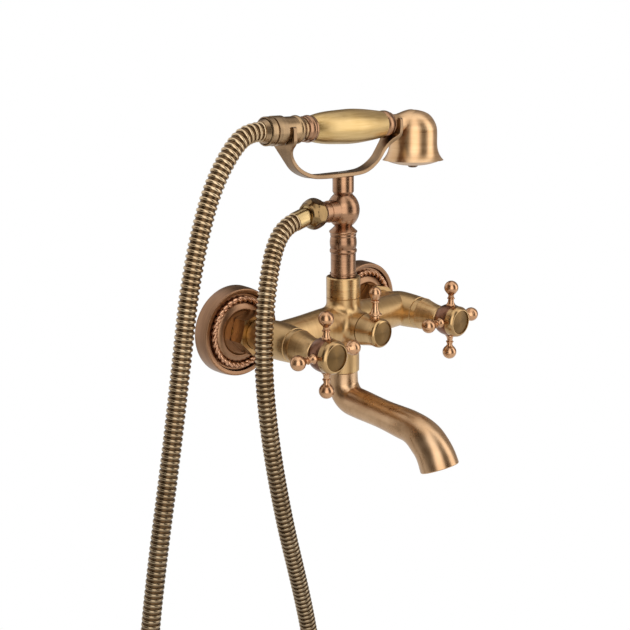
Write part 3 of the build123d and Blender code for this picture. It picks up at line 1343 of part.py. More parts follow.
def spout_frame(share):
    """Frame across the spout's centreline, its local Z downstream. The share runs 0..1 down the
    drop, 1..2 round the elbow, 2..3 along the falling run, 3..4 round the hook and 4..5 straight
    to the mouth."""
    elbow_share = min(max(share - 1, 0), 1)
    run_share = min(max(share - 2, 0), 1)
    hook_share = min(max(share - 3, 0), 1)
    lip = SPOUT_LIP * max(share - 4, 0)
    turned = math.radians(SPOUT_ELBOW_TURN * elbow_share)
    start = math.radians(-SPOUT_SLOPE)
    heading = start - math.radians(SPOUT_HOOK_TURN) * hook_share
    out = SPOUT_ELBOW_RADIUS * (1 - math.cos(turned))
    out += SPOUT_RUN * run_share * math.cos(start)
    out += SPOUT_HOOK_RADIUS * (math.sin(start) - math.sin(heading)) + lip * math.cos(heading)
    height = -SOCKET_DEPTH - SPOUT_DROP * min(share, 1)
    height -= SPOUT_ELBOW_RADIUS * math.sin(turned)
    height += SPOUT_RUN * run_share * math.sin(start)
    height += SPOUT_HOOK_RADIUS * (math.cos(heading) - math.cos(start)) + lip * math.sin(heading)
    along = heading if share > 2 else turned - math.pi / 2
    return Plane(
        origin=(0, -BODY_OUT - out, height),
        x_dir=(1, 0, 0),
        z_dir=(0, -math.cos(along), math.sin(along)),
    )


def spout_radii():
    """Outside radius at each share of the centreline: it swells at the elbow and the mouth."""
    before_hook = SPOUT_RUN_SECTION + 1.6
    return {
        0: SPOUT_TOP_RADIUS,
        0.5: SPOUT_TOP_RADIUS + 0.3,
        1: (SPOUT_TOP_RADIUS + SPOUT_ELBOW_SECTION) / 2,
        1.35: SPOUT_ELBOW_SECTION,
        1.7: SPOUT_ELBOW_SECTION - 0.3,
        2: SPOUT_RUN_SECTION + 1.1,
        2.3: SPOUT_RUN_SECTION,
        2.65: SPOUT_RUN_SECTION + 0.3,
        3: before_hook,
        3.35: (before_hook + SPOUT_HOOK_SECTION) / 2 + 0.5,
        3.65: SPOUT_HOOK_SECTION + 0.2,
        4: SPOUT_MOUTH_SECTION,
        5: SPOUT_MOUTH_SECTION,
    }


def spout_solid():
    return loft([spout_frame(at) * Circle(radius) for at, radius in spout_radii().items()])


def spout_bore():
    """The inside: the tail's bore, opening out until only the wall is left round it."""
    sections = []
    for at, radius in spout_radii().items():
        opened = min(radius - SPOUT_WALL, SPOUT_TAIL_BORE + 2.2 * at)
        sections.append(spout_frame(at) * Circle(opened))
    return loft(sections)


def spout():
    """Bent tapering spout on a round tail that turns in the body's socket."""
    tail_top = -SPOUT_SOCKET_ROOF - FACE_GAP
    shell = spout_solid() + up_axis() * rod(SPOUT_TAIL_RADIUS, -SOCKET_DEPTH - 0.5, tail_top)
    shell -= spout_bore()
    shell -= up_axis() * rod(SPOUT_TAIL_BORE, -SOCKET_DEPTH - 0.2, tail_top)
    for height in SPOUT_ORINGS:
        shell -= oring_groove(SPOUT_TAIL_RADIUS, height)
    half_track = GRUB_SCREW_RADIUS + FACE_GAP
    track_floor = SPOUT_TAIL_RADIUS - SPOUT_TRACK_DEPTH
    track = rod(SPOUT_TAIL_RADIUS + 1, -half_track, half_track, track_floor)
    shell -= up_axis(GRUB_SCREW_HEIGHT) * track
    seat_depth = STRAIGHTENER_RECESS + STRAIGHTENER_THICKNESS
    return shell - spout_frame(5) * rod(STRAIGHTENER_RADIUS + SLIP, -seat_depth, 1)


def flow_straightener():
    """Perforated disc pushed into the spout's mouth."""
    rear = -STRAIGHTENER_RECESS - STRAIGHTENER_THICKNESS
    disc = rod(STRAIGHTENER_RADIUS, rear, -STRAIGHTENER_RECESS)
    hole = rod(STRAIGHTENER_HOLE_RADIUS, rear - 1, 0)
    disc -= hole
    for number in range(6):
        disc -= Rot(0, 0, 60 * number) * Pos(STRAIGHTENER_HOLE_CIRCLE, 0, 0) * hole
    return spout_frame(5) * disc


def grub_screw():
    """Grub screw in the socket's wall; its point runs in the track round the spout's tail."""
    point = SPOUT_TAIL_RADIUS - SPOUT_TRACK_DEPTH + FACE_GAP
    end = SOCKET_RADIUS - 0.6
    screw = rod(GRUB_SCREW_RADIUS, point, end)
    hexagon_socket = hexagon(1.5, end - 1.5, end)
    return grub_screw_axis() * (screw - hexagon_socket)


write("spout", spout())
write("spout_o_rings", Part() + [oring(SPOUT_TAIL_RADIUS, height) for height in SPOUT_ORINGS])
write("flow_straightener", flow_straightener())
write("spout_grub_screw", grub_screw())


# ---------------------------------------------------------------- shower hose
def hose_points():
    """Corner points of the hose, from the hand shower's cone to the lower ferrule."""
    upper = handset_axis()
    lower = ferrule_axis()
    return [
        upper.from_local_coords(Vector(0, 0, HOSE_END_TIP)),
        upper.from_local_coords(Vector(0, 0, HOSE_END_TIP - HOSE_LEAD)),
        *(Vector(*point) for point in HOSE_ROUTE),
        lower.from_local_coords(Vector(0, 0, FERRULE_REACH + HOSE_LEAD)),
        lower.from_local_coords(Vector(0, 0, FERRULE_REACH)),
    ]


def corner_radii(points):
    """Radius for each corner: the arcs reach most of the way along the shorter run."""
    radii = []
    for a, b, c in zip(points, points[1:], points[2:]):
        turn = math.radians((b - a).get_angle(c - b))
        run = min((b - a).length, (c - b).length)
        radii.append(0.45 * run / math.tan(turn / 2))
    return radii


def shower_hose():
    points = hose_points()
    radii = corner_radii(points)
    path = FilletPolyline(*points, radius=radii)
    section = Circle(HOSE_RADIUS) - Circle(HOSE_RADIUS - HOSE_WALL)
    tube = sweep(Plane(path @ 0, z_dir=path % 0) * section, path)
    area = math.pi * (HOSE_RADIUS**2 - (HOSE_RADIUS - HOSE_WALL) ** 2)
    print("hose radii", " ".join(f"{radius:.0f}" for radius in radii))
    print(f"hose length {path.length:.1f}, volume over section x length")
    print(f"{tube.volume / (area * path.length):.4f}")
    return tube


write("shower_hose", shower_hose())
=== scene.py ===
import math

import bmesh
import bpy
from mathutils import Matrix, Vector


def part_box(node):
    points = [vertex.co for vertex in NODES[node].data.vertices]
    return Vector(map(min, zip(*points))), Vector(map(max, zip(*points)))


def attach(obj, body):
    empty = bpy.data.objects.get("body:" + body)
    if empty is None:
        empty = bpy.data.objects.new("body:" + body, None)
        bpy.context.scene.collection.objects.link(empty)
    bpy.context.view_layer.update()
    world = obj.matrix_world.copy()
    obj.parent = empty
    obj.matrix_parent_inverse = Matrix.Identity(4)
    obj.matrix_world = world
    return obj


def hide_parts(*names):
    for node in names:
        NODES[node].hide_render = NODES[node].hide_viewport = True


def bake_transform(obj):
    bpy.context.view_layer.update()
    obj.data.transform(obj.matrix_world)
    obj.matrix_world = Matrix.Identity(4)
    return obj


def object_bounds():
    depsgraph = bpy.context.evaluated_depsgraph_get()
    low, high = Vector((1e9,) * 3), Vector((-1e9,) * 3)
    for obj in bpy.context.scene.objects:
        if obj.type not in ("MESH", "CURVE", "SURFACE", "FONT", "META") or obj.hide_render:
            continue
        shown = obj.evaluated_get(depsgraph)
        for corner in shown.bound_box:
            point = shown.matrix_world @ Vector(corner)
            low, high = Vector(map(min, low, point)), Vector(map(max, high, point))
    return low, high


bl_info = {
    "name": "Wall-mounted bath mixer finish",
    "version": (1, 0, 0),
    "blender": (4, 5, 0),
    "location": "View3D > Sidebar > Bath mixer",
    "description": "Winds the shower hose and the roped rings, and gives the mixer its aged brass",
    "category": "Object",
}

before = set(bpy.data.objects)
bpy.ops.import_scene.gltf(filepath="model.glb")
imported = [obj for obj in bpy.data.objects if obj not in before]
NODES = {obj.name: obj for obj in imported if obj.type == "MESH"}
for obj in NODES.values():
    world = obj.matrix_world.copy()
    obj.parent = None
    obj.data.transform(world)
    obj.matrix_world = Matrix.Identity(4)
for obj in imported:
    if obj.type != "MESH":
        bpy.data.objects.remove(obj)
CAD_BOX = [list(corner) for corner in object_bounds()]
RISER_OUT = 0.0495  # wall to the axis of the riser

# Control points of the hose in metres, from the hand shower's cone round to the lower ferrule.
HOSE_ROUTE = [
    (-0.0815, -0.0495, 0.1556),
    (-0.0925, -0.0495, 0.1556),
    (-0.1062, -0.0495, 0.1462),
    (-0.1243, -0.0495, 0.1215),
    (-0.1376, -0.0495, 0.088),
    (-0.1482, -0.0495, 0.050),
    (-0.1555, -0.0495, 0.010),
    (-0.163, -0.0495, -0.030),
    (-0.1715, -0.050, -0.072),
    (-0.186, -0.0515, -0.135),
    (-0.199, -0.053, -0.200),
    (-0.207, -0.0545, -0.268),
    (-0.210, -0.0565, -0.338),
    (-0.207, -0.0585, -0.406),
    (-0.195, -0.0595, -0.464),
    (-0.172, -0.0605, -0.509),
    (-0.140, -0.061, -0.533),
    (-0.105, -0.0613, -0.532),
    (-0.076, -0.0616, -0.509),
    (-0.057, -0.062, -0.466),
    (-0.0475, -0.062, -0.409),
    (-0.044, -0.0622, -0.350),
    (-0.046, -0.0624, -0.296),
    (-0.053, -0.0626, -0.250),
    (-0.063, -0.0628, -0.203),
    (-0.077, -0.063, -0.146),
    (-0.0885, -0.063, -0.084),
    (-0.094, -0.063, -0.034),
    (-0.0945, -0.063, 0.000),
    (-0.091, -0.0615, 0.028),
    (-0.083, -0.057, 0.052),
    (-0.073, -0.0515, 0.071),
    (-0.0614, -0.0495, 0.0851),
    (-0.0504, -0.0495, 0.0881),
]


# ---------------------------------------------------------------- small helpers
def hex_colour(code):
    """Linear RGBA of an sRGB hex code."""
    channels = [int(code[at:at + 2], 16) / 255 for at in (0, 2, 4)]
    linear = [c / 12.92 if c <= 0.04045 else ((c + 0.055) / 1.055) ** 2.4 for c in channels]
    return (*linear, 1.0)


def add_node(tree, kind, settings=None, **links):
    """Adds a node. Settings are its properties; links fill its inputs, by socket or by value."""
    node = tree.nodes.new(kind)
    for name, value in (settings or {}).items():
        setattr(node, name, value)
    for name, value in links.items():
        key = int(name[3:]) if name.startswith("in_") else name.replace("_", " ")
        socket = node.inputs[key]
        if isinstance(value, bpy.types.NodeSocket):
            tree.links.new(value, socket)
        else:
            socket.default_value = value
    return node


def calculated(tree, operation, *terms, kind="ShaderNodeMath", result=0):
    """Result of a math node; the terms are numbers, vectors or sockets."""
    links = {f"in_{number}": term for number, term in enumerate(terms)}
    return add_node(tree, kind, {"operation": operation}, **links).outputs[result]


def remapped(tree, value, start, end, low=0.0, high=1.0, kind="LINEAR"):
    """Result of a map-range node: low to high becomes start to end."""
    return add_node(tree, "ShaderNodeMapRange", {"interpolation_type": kind}, Value=value,
                    From_Min=low, From_Max=high, To_Min=start, To_Max=end).outputs["Result"]


def new_material(name):
    """Empty node material with its output, and the tree to fill."""
    material = bpy.data.materials.new(name)
    material.use_nodes = True
    material.node_tree.nodes.clear()
    return material, material.node_tree


def aged_brass(name, worn, aged, roughness, grain, depth=0.000004, coat=0.25, painted_shade=None):
    """Aged and brushed brass. The worn colour shows where hands rub it and the aged one between.
    Grain holds the brush marks' density along X, Y and Z, in marks per metre. Painted shade holds
    two heights and the share of the colour that is left below the lower one: the colour darkens
    towards the bottom as painted shade."""
    material, tree = new_material(name)
    place = add_node(tree, "ShaderNodeTexCoord").outputs["Object"]
    stretched = add_node(tree, "ShaderNodeMapping", Vector=place, Scale=grain).outputs["Vector"]
    marks = add_node(tree, "ShaderNodeTexNoise", Vector=stretched, Scale=1.0, Detail=3.0,
                     Roughness=0.6).outputs["Fac"]
    clouds = add_node(tree, "ShaderNodeTexNoise", Vector=place, Scale=38.0, Detail=2.0,
                      Roughness=0.5).outputs["Fac"]
    patches = remapped(tree, clouds, 0.3, 0.8, 0.3, 0.7)
    streaks = remapped(tree, marks, -0.3, 0.3, 0.3, 0.7)
    share = add_node(tree, "ShaderNodeMath", {"operation": "ADD", "use_clamp": True},
                     in_0=patches, in_1=streaks).outputs["Value"]
    colour = add_node(tree, "ShaderNodeMix", {"data_type": "RGBA"}, in_0=share,
                      in_6=hex_colour(aged), in_7=hex_colour(worn)).outputs[2]
    if painted_shade:
        # Painted shade: the colour darkens from the upper height down to the lower one, where only
        # the given share is left.
        height = add_node(tree, "ShaderNodeSeparateXYZ", Vector=place).outputs["Z"]
        left = remapped(tree, height, painted_shade[2], 1.0, painted_shade[0], painted_shade[1])
        colour = add_node(tree, "ShaderNodeVectorMath", {"operation": "SCALE"}, in_0=colour,
                          Scale=left).outputs["Vector"]
    rough = remapped(tree, marks, roughness - 0.03, roughness + 0.05, 0.25, 0.75)
    bump = add_node(tree, "ShaderNodeBump", Strength=0.35, Distance=depth,
                    Height=marks).outputs["Normal"]
    shader = add_node(tree, "ShaderNodeBsdfPrincipled", Base_Color=colour, Metallic=1.0,
                      Roughness=rough, Normal=bump, Coat_Weight=coat, Coat_Roughness=0.25)
    add_node(tree, "ShaderNodeOutputMaterial", Surface=shader.outputs["BSDF"])
    return material


def turned_disc(name, node_name, worn, aged):
    """Faced disc with fine rings about its own centre, which pull its highlight into a fan."""
    material, tree = new_material(name)
    low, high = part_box(node_name)
    centre = [(a + b) / 2 for a, b in zip(low, high)]
    place = add_node(tree, "ShaderNodeTexCoord").outputs["Object"]
    spoke = calculated(tree, "SUBTRACT", place, centre, kind="ShaderNodeVectorMath")
    flat = calculated(tree, "MULTIPLY", spoke, (1, 0, 1), kind="ShaderNodeVectorMath")
    reach = calculated(tree, "LENGTH", flat, kind="ShaderNodeVectorMath", result="Value")
    rings = add_node(tree, "ShaderNodeTexNoise", {"noise_dimensions": "1D"}, W=reach,
                     Scale=3500.0).outputs["Fac"]
    colour = add_node(tree, "ShaderNodeMix", {"data_type": "RGBA"}, in_0=rings,
                      in_6=hex_colour(aged), in_7=hex_colour(worn)).outputs[2]
    shader = add_node(tree, "ShaderNodeBsdfPrincipled", Base_Color=colour, Metallic=1.0,
                      Roughness=0.3, Anisotropic=0.85, Tangent=flat, Coat_Weight=0.1)
    add_node(tree, "ShaderNodeOutputMaterial", Surface=shader.outputs["BSDF"])
    return material


def linked(name, data):
    """Object that holds the data, in the scene's collection."""
    piece = bpy.data.objects.new(name, data)
    bpy.context.scene.collection.objects.link(piece)
    return piece


def ring_rows(count, steps, first=0):
    """Vertex numbers of equal rings that follow each other, one row for each ring."""
    return [range(first + steps * row, first + steps * (row + 1)) for row in range(count)]


def ring_faces(rows, closed=True):
    """Faces between neighbouring rows of vertex numbers; a pole's row repeats one number."""
    faces = []
    for below, above in zip(rows, [*rows[1:], rows[0]] if closed else rows[1:]):
        for step in range(len(below)):
            after = (step + 1) % len(below)
            face = tuple(dict.fromkeys((below[step], below[after], above[after], above[step])))
            if len(face) > 2:
                faces.append(face)
    return faces


def new_piece(name, verts, faces, sharp_degrees):
    """Mesh object with the faces outward and smooth, and edges past the angle kept crisp."""
    mesh = bpy.data.meshes.new(name)
    mesh.from_pydata(verts, [], faces)
    shell = bmesh.new()
    shell.from_mesh(mesh)
    bmesh.ops.recalc_face_normals(shell, faces=shell.faces)
    shell.to_mesh(mesh)
    shell.free()
    mesh.polygons.foreach_set("use_smooth", [True] * len(mesh.polygons))
    mesh.set_sharp_from_angle(angle=math.radians(sharp_degrees))
    return linked(name, mesh)


def turned_piece(name, profile, origin, *axes, steps=96):
    """Mesh turned from (radius, along) pairs in metres about each axis through the origin.
    A profile either starts and ends on the axis or closes on itself."""
    verts, faces = [], []
    for axis in axes:
        axis = Vector(axis).normalized()
        across = axis.orthogonal().normalized()
        beside = axis.cross(across)
        rows = []
        for radius, along in profile:
            start, centre = len(verts), Vector(origin) + axis * along
            if radius == 0:
                verts.append(centre)
                rows.append([start] * steps)
                continue
            for step in range(steps):
                at = 2 * math.pi * step / steps
                verts.append(centre + (across * math.cos(at) + beside * math.sin(at)) * radius)
            rows.append(range(start, start + steps))
        faces += ring_faces(rows)
    return new_piece(name, verts, faces, 32)


def swept_piece(name, stations, steps=64):
    """Closed mesh through round sections: each station is a centre, a direction and a radius."""
    verts = []
    for centre, along, radius in stations:
        beside = Vector((1, 0, 0))
        across = along.cross(beside).normalized()
        for step in range(steps):
            at = 2 * math.pi * step / steps
            verts.append(centre + (beside * math.cos(at) + across * math.sin(at)) * radius)
    return new_piece(name, verts, ring_faces(ring_rows(len(stations), steps)), 40)


def eased(knots, at):
    """Smooth reading of a table of (place, value) pairs."""
    for (a, low), (b, high) in zip(knots, knots[1:]):
        if at <= b:
            share = (at - a) / (b - a)
            return low + (high - low) * share * share * (3 - 2 * share)
    return knots[-1][1]


def rounded(points, turns=4):
    """Chaikin-smoothed run of tuples of numbers that keeps both ends."""
    for _ in range(turns):
        run = [points[0]]
        for here, then in zip(points, points[1:]):
            run += [tuple(0.75 * a + 0.25 * b for a, b in zip(here, then)),
                    tuple(0.25 * a + 0.75 * b for a, b in zip(here, then))]
        points = [*run, points[-1]]
    return points


def dress(material, *node_names):
    """Puts a material on every slot of the named CAD nodes."""
    for node_name in node_names:
        for slot in NODES[node_name].material_slots:
            slot.material = material


def plain_mesh(source, name):
    """Plain mesh object of what a generator object evaluates to; the generator is removed."""
    evaluated = source.evaluated_get(bpy.context.evaluated_depsgraph_get())
    mesh = bpy.data.meshes.new_from_object(evaluated)
    bpy.data.objects.remove(source)
    return linked(name, mesh)


def generator_tree(name, sizes):
    """Geometry node group with a geometry input, named length inputs and a geometry output."""
    tree = bpy.data.node_groups.new(name, "GeometryNodeTree")
    tree.interface.new_socket("Geometry", in_out="INPUT", socket_type="NodeSocketGeometry")
    tree.interface.new_socket("Geometry", in_out="OUTPUT", socket_type="NodeSocketGeometry")
    for label, kind in sizes:
        tree.interface.new_socket(label, in_out="INPUT", socket_type=kind)
    return tree


def run_generator(source, tree, values):
    """Adds the modifier to the source object and sets its inputs by their identifiers."""
    modifier = source.modifiers.new(tree.name, "NODES")
    modifier.node_group = tree
    for item in tree.interface.items_tree:
        if item.in_out == "INPUT" and item.name in values:
            modifier[item.identifier] = values[item.name]


# ---------------------------------------------------------------- sizes and colours
def metres(name, text, default):
    """Property that holds a length."""
    return bpy.props.FloatProperty(name=name, description=text, default=default, unit="LENGTH",
                                   subtype="DISTANCE")


class MixerFinishSettings(bpy.types.PropertyGroup):
    body_worn: bpy.props.StringProperty(
        name="Body, worn", default="C7A776",
        description="Rubbed colour of the cast body and collar nut")
    body_aged: bpy.props.StringProperty(
        name="Body, aged", default="A88458",
        description="Aged colour of the cast body and collar nut")
    copper_worn: bpy.props.StringProperty(
        name="Riser, worn", default="AC8464",
        description="Rubbed colour of the coppery turned pieces")
    copper_aged: bpy.props.StringProperty(
        name="Riser, aged", default="7A5842",
        description="Aged colour of the coppery turned pieces")


class MixerHoseSettings(bpy.types.PropertyGroup):
    diameter: metres("Hose diameter", "Outside diameter of the wound hose", 0.014)
    pitch: metres("Hoop pitch", "Distance from one hoop to the next", 0.004)
    length: metres("Hose length", "Length of the hose between its ferrules", 1.45)


class MixerRopeSettings(bpy.types.PropertyGroup):
    ring_radius: metres("Ring radius", "Radius of the roped ring's centreline", 0.0264)
    rope_radius: metres("Rope radius", "Radius of the rope", 0.0025)
    strands: bpy.props.IntProperty(
        name="Strands", description="Strands laid round the rope", default=2)
    turns: bpy.props.IntProperty(
        name="Turns", description="Turns of the lay in one ring", default=16)


class MixerSpoutSettings(bpy.types.PropertyGroup):
    rim_height: metres("Rim height", "Height of the socket's rim over the inlets", -0.0397)
    drop: metres("Drop", "Straight part below the rim", 0.0092)
    elbow_radius: metres("Elbow radius", "Bend radius of the elbow", 0.0145)
    run: metres("Run", "Straight run between the bends", 0.058)
    hook_radius: metres("Hook radius", "Bend radius of the hook", 0.036)
    lip: metres("Lip", "Straight end before the mouth", 0.005)


class MixerStrapSettings(bpy.types.PropertyGroup):
    thickness: metres("Thickness", "Thickness of the cradle's strap", 0.0032)
    seat_width: metres("Seat width", "Width of the strap on its post", 0.013)
    arm_width: metres("Arm width", "Width of the strap at the waist of each arm", 0.0095)
    right_fork_width: metres("Front fork width", "Width across the tines beside the bell", 0.023)
    axis_rise: metres("Axis rise", "Underside of the strap up to the hand shower's axis", 0.0375)
    left_notch: metres("Rear notch", "Half the width of the notch at the hose's end", 0.0100)
    right_notch: metres("Front notch", "Half the width of the notch beside the bell", 0.0077)


class MixerStageSettings(bpy.types.PropertyGroup):
    lens: bpy.props.FloatProperty(
        name="Lens", description="Focal length on a 36 mm sensor", default=52.37)
    tent_radius: metres("Tent radius", "Radius of the light tent", 2.2)


# ---------------------------------------------------------------- pieces
class MIXER_OT_shower_hose(bpy.types.Operator):
    """Winds the metal hose as separate rounded hoops over a dark core"""
    bl_idname = "mixer.shower_hose"
    bl_label = "Shower hose"

    def turned_drum(self):
        """Round nut at the hand shower: a collar, a groove and a drum over the tail's thread."""
        low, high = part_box("upper_hose_nut")
        middle = (0, (low[1] + high[1]) / 2, (low[2] + high[2]) / 2)
        bore, seat, depth = 0.0083, 0.0100, 0.0040
        drum = [(bore, low[0] + 0.0012), (0.0095, low[0]), (0.0104, low[0] + 0.0006),
                (0.0104, low[0] + 0.0048), (0.0098, low[0] + 0.0050), (0.0098, low[0] + 0.0060),
                (0.0106, low[0] + 0.0062), (0.0107, low[0] + 0.0068),
                (0.0107, high[0] - 0.0005), (0.0102, high[0]), (seat, high[0])]
        inside = [(seat, high[0] - depth), (bore, high[0] - depth)]
        nut = turned_piece("upper_hose_drum", [*drum, *inside], middle, (1, 0, 0))
        # Drum at the hose's end: turned brass, gone darker than the tail.
        drum_brass = aged_brass("turned_drum_brass", "A88C68", "76604A", 0.28, (500, 40, 40))
        nut.data.materials.append(drum_brass)
        dress(drum_brass, "upper_hose_ferrule")
        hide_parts("upper_hose_nut")
        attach(nut, "handset")
        return nut

    def faceted_nut(self):
        """Union nut of the hose's lower end: a hexagon cut back by long cones at both ends."""
        low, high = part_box("lower_hose_nut")
        start, end = high[0], low[0]
        centre = Vector((0, (low[1] + high[1]) / 2, (low[2] + high[2]) / 2))
        flat, corner, steps = 0.0107, 0.0121, 120
        sixth, turned_by = math.pi / 3, math.radians(7)
        cones = [(0.0, 0.0086), (0.003, 0.0106), (0.0058, corner), (0.0102, corner),
                 (0.0128, 0.0104), (0.0144, 0.0088), (start - end, 0.0082)]
        outline = [(0.0, 0.0065)] + rounded(cones, 2) + [(start - end, 0.0068)]
        verts = []
        for along, limit in outline:
            for step in range(steps):
                at = 2 * math.pi * step / steps
                side = (at + sixth / 2) % sixth - sixth / 2
                radius = min(flat / math.cos(side), limit)
                turn = at - turned_by
                verts.append(centre + Vector((start - along, -radius * math.cos(turn),
                                              -radius * math.sin(turn))))
        faces = ring_faces(ring_rows(len(outline), steps))
        piece = new_piece("hose_nut_faceted", verts, faces, 14)
        # Dark antique brass, its flats worn brighter.
        dark = aged_brass("dark_antique_nut", "8C7048", "463824", 0.2, (150, 60, 60))
        piece.data.materials.append(dark)
        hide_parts("lower_hose_nut")
        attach(piece, "riser")
        return piece

    def hoop_tree(self, brass, core):
        """Rounded hoops along the hose's line, over a plain tube that closes the gaps."""
        sizes = [("Pitch", "NodeSocketFloat"), ("Radius", "NodeSocketFloat")]
        tree = generator_tree("Hose hoops", sizes)
        inputs = tree.nodes.new("NodeGroupInput").outputs
        hoop_radius = calculated(tree, "MULTIPLY", inputs["Radius"], 0.9)
        core_radius = calculated(tree, "MULTIPLY", inputs["Radius"], 0.86)
        half_width = calculated(tree, "MULTIPLY", inputs["Pitch"], 0.3)
        points = add_node(tree, "GeometryNodeCurveToPoints", {"mode": "LENGTH"},
                          Curve=inputs["Geometry"], Length=inputs["Pitch"])
        path = add_node(tree, "GeometryNodeCurvePrimitiveCircle", Resolution=22,
                        Radius=hoop_radius).outputs["Curve"]
        section = add_node(tree, "GeometryNodeCurvePrimitiveCircle", Resolution=8,
                           Radius=half_width).outputs["Curve"]
        flattened = add_node(tree, "GeometryNodeTransform", Geometry=section,
                             Scale=(0.6, 1.0, 1.0)).outputs["Geometry"]
        hoop = add_node(tree, "GeometryNodeCurveToMesh", Curve=path,
                        Profile_Curve=flattened).outputs["Mesh"]
        hoops = add_node(tree, "GeometryNodeInstanceOnPoints", Points=points.outputs["Points"],
                         Instance=hoop, Rotation=points.outputs["Rotation"]).outputs["Instances"]
        core_section = add_node(tree, "GeometryNodeCurvePrimitiveCircle", Resolution=16,
                                Radius=core_radius).outputs["Curve"]
        fine = add_node(tree, "GeometryNodeResampleCurve", {"mode": "LENGTH"},
                        Curve=inputs["Geometry"], Length=0.006).outputs["Curve"]
        tube = add_node(tree, "GeometryNodeCurveToMesh", Curve=fine, Profile_Curve=core_section,
                        Fill_Caps=True).outputs["Mesh"]
        plain = add_node(tree, "GeometryNodeRealizeInstances", Geometry=hoops).outputs["Geometry"]
        brassed = add_node(tree, "GeometryNodeSetMaterial", Geometry=plain,
                           Material=brass).outputs["Geometry"]
        cored = add_node(tree, "GeometryNodeSetMaterial", Geometry=tube,
                         Material=core).outputs["Geometry"]
        joined = tree.nodes.new("GeometryNodeJoinGeometry")
        tree.links.new(brassed, joined.inputs["Geometry"])
        tree.links.new(cored, joined.inputs["Geometry"])
        smooth = add_node(tree, "GeometryNodeSetShadeSmooth",
                          Geometry=joined.outputs["Geometry"]).outputs["Geometry"]
        add_node(tree, "NodeGroupOutput", Geometry=smooth)
        return tree

    def execute(self, context):
        sizes = context.scene.mixer_hose
        line = bpy.data.curves.new("hose_line", "CURVE")
        line.dimensions = "3D"
        line.resolution_u = 24
        spline = line.splines.new("NURBS")
        spline.points.add(len(HOSE_ROUTE) - 1)
        for point, place in zip(spline.points, HOSE_ROUTE):
            point.co = (*place, 1.0)
        spline.order_u = 3
        spline.use_endpoint_u = True
        source = linked("hose_line", line)
        bare = bpy.data.meshes.new_from_object(
            source.evaluated_get(context.evaluated_depsgraph_get()))
        # Wound brass strip, plated and lacquered: pale beige and fairly glossy on each hoop.
        # Painted shade: the strip's colour drops to half from 0.13 m down to -0.1 m in height.
        brass = aged_brass("wound_brass_strip", "D2BC9A", "AC906C", 0.24, (120, 120, 120),
                           painted_shade=(-0.1, 0.13, 0.5))
        # The strip's folded-in part between the hoops: the same brass, painted dark brown as the
        # shade in the gaps between the hoops.
        core = aged_brass("painted_shade_strip_groove", "6A5238", "46331F", 0.34, (120, 120, 120),
                          coat=0.05)
        hoops = self.hoop_tree(brass, core)
        run_generator(source, hoops, {"Pitch": sizes.pitch, "Radius": sizes.diameter / 2})
        hose = plain_mesh(source, "shower_hose_wound")
        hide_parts("shower_hose")
        ends = [self.faceted_nut(), self.turned_drum(), NODES["upper_hose_ferrule"],
                NODES["lower_hose_ferrule"]]
        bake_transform(hose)
        return {"FINISHED"}


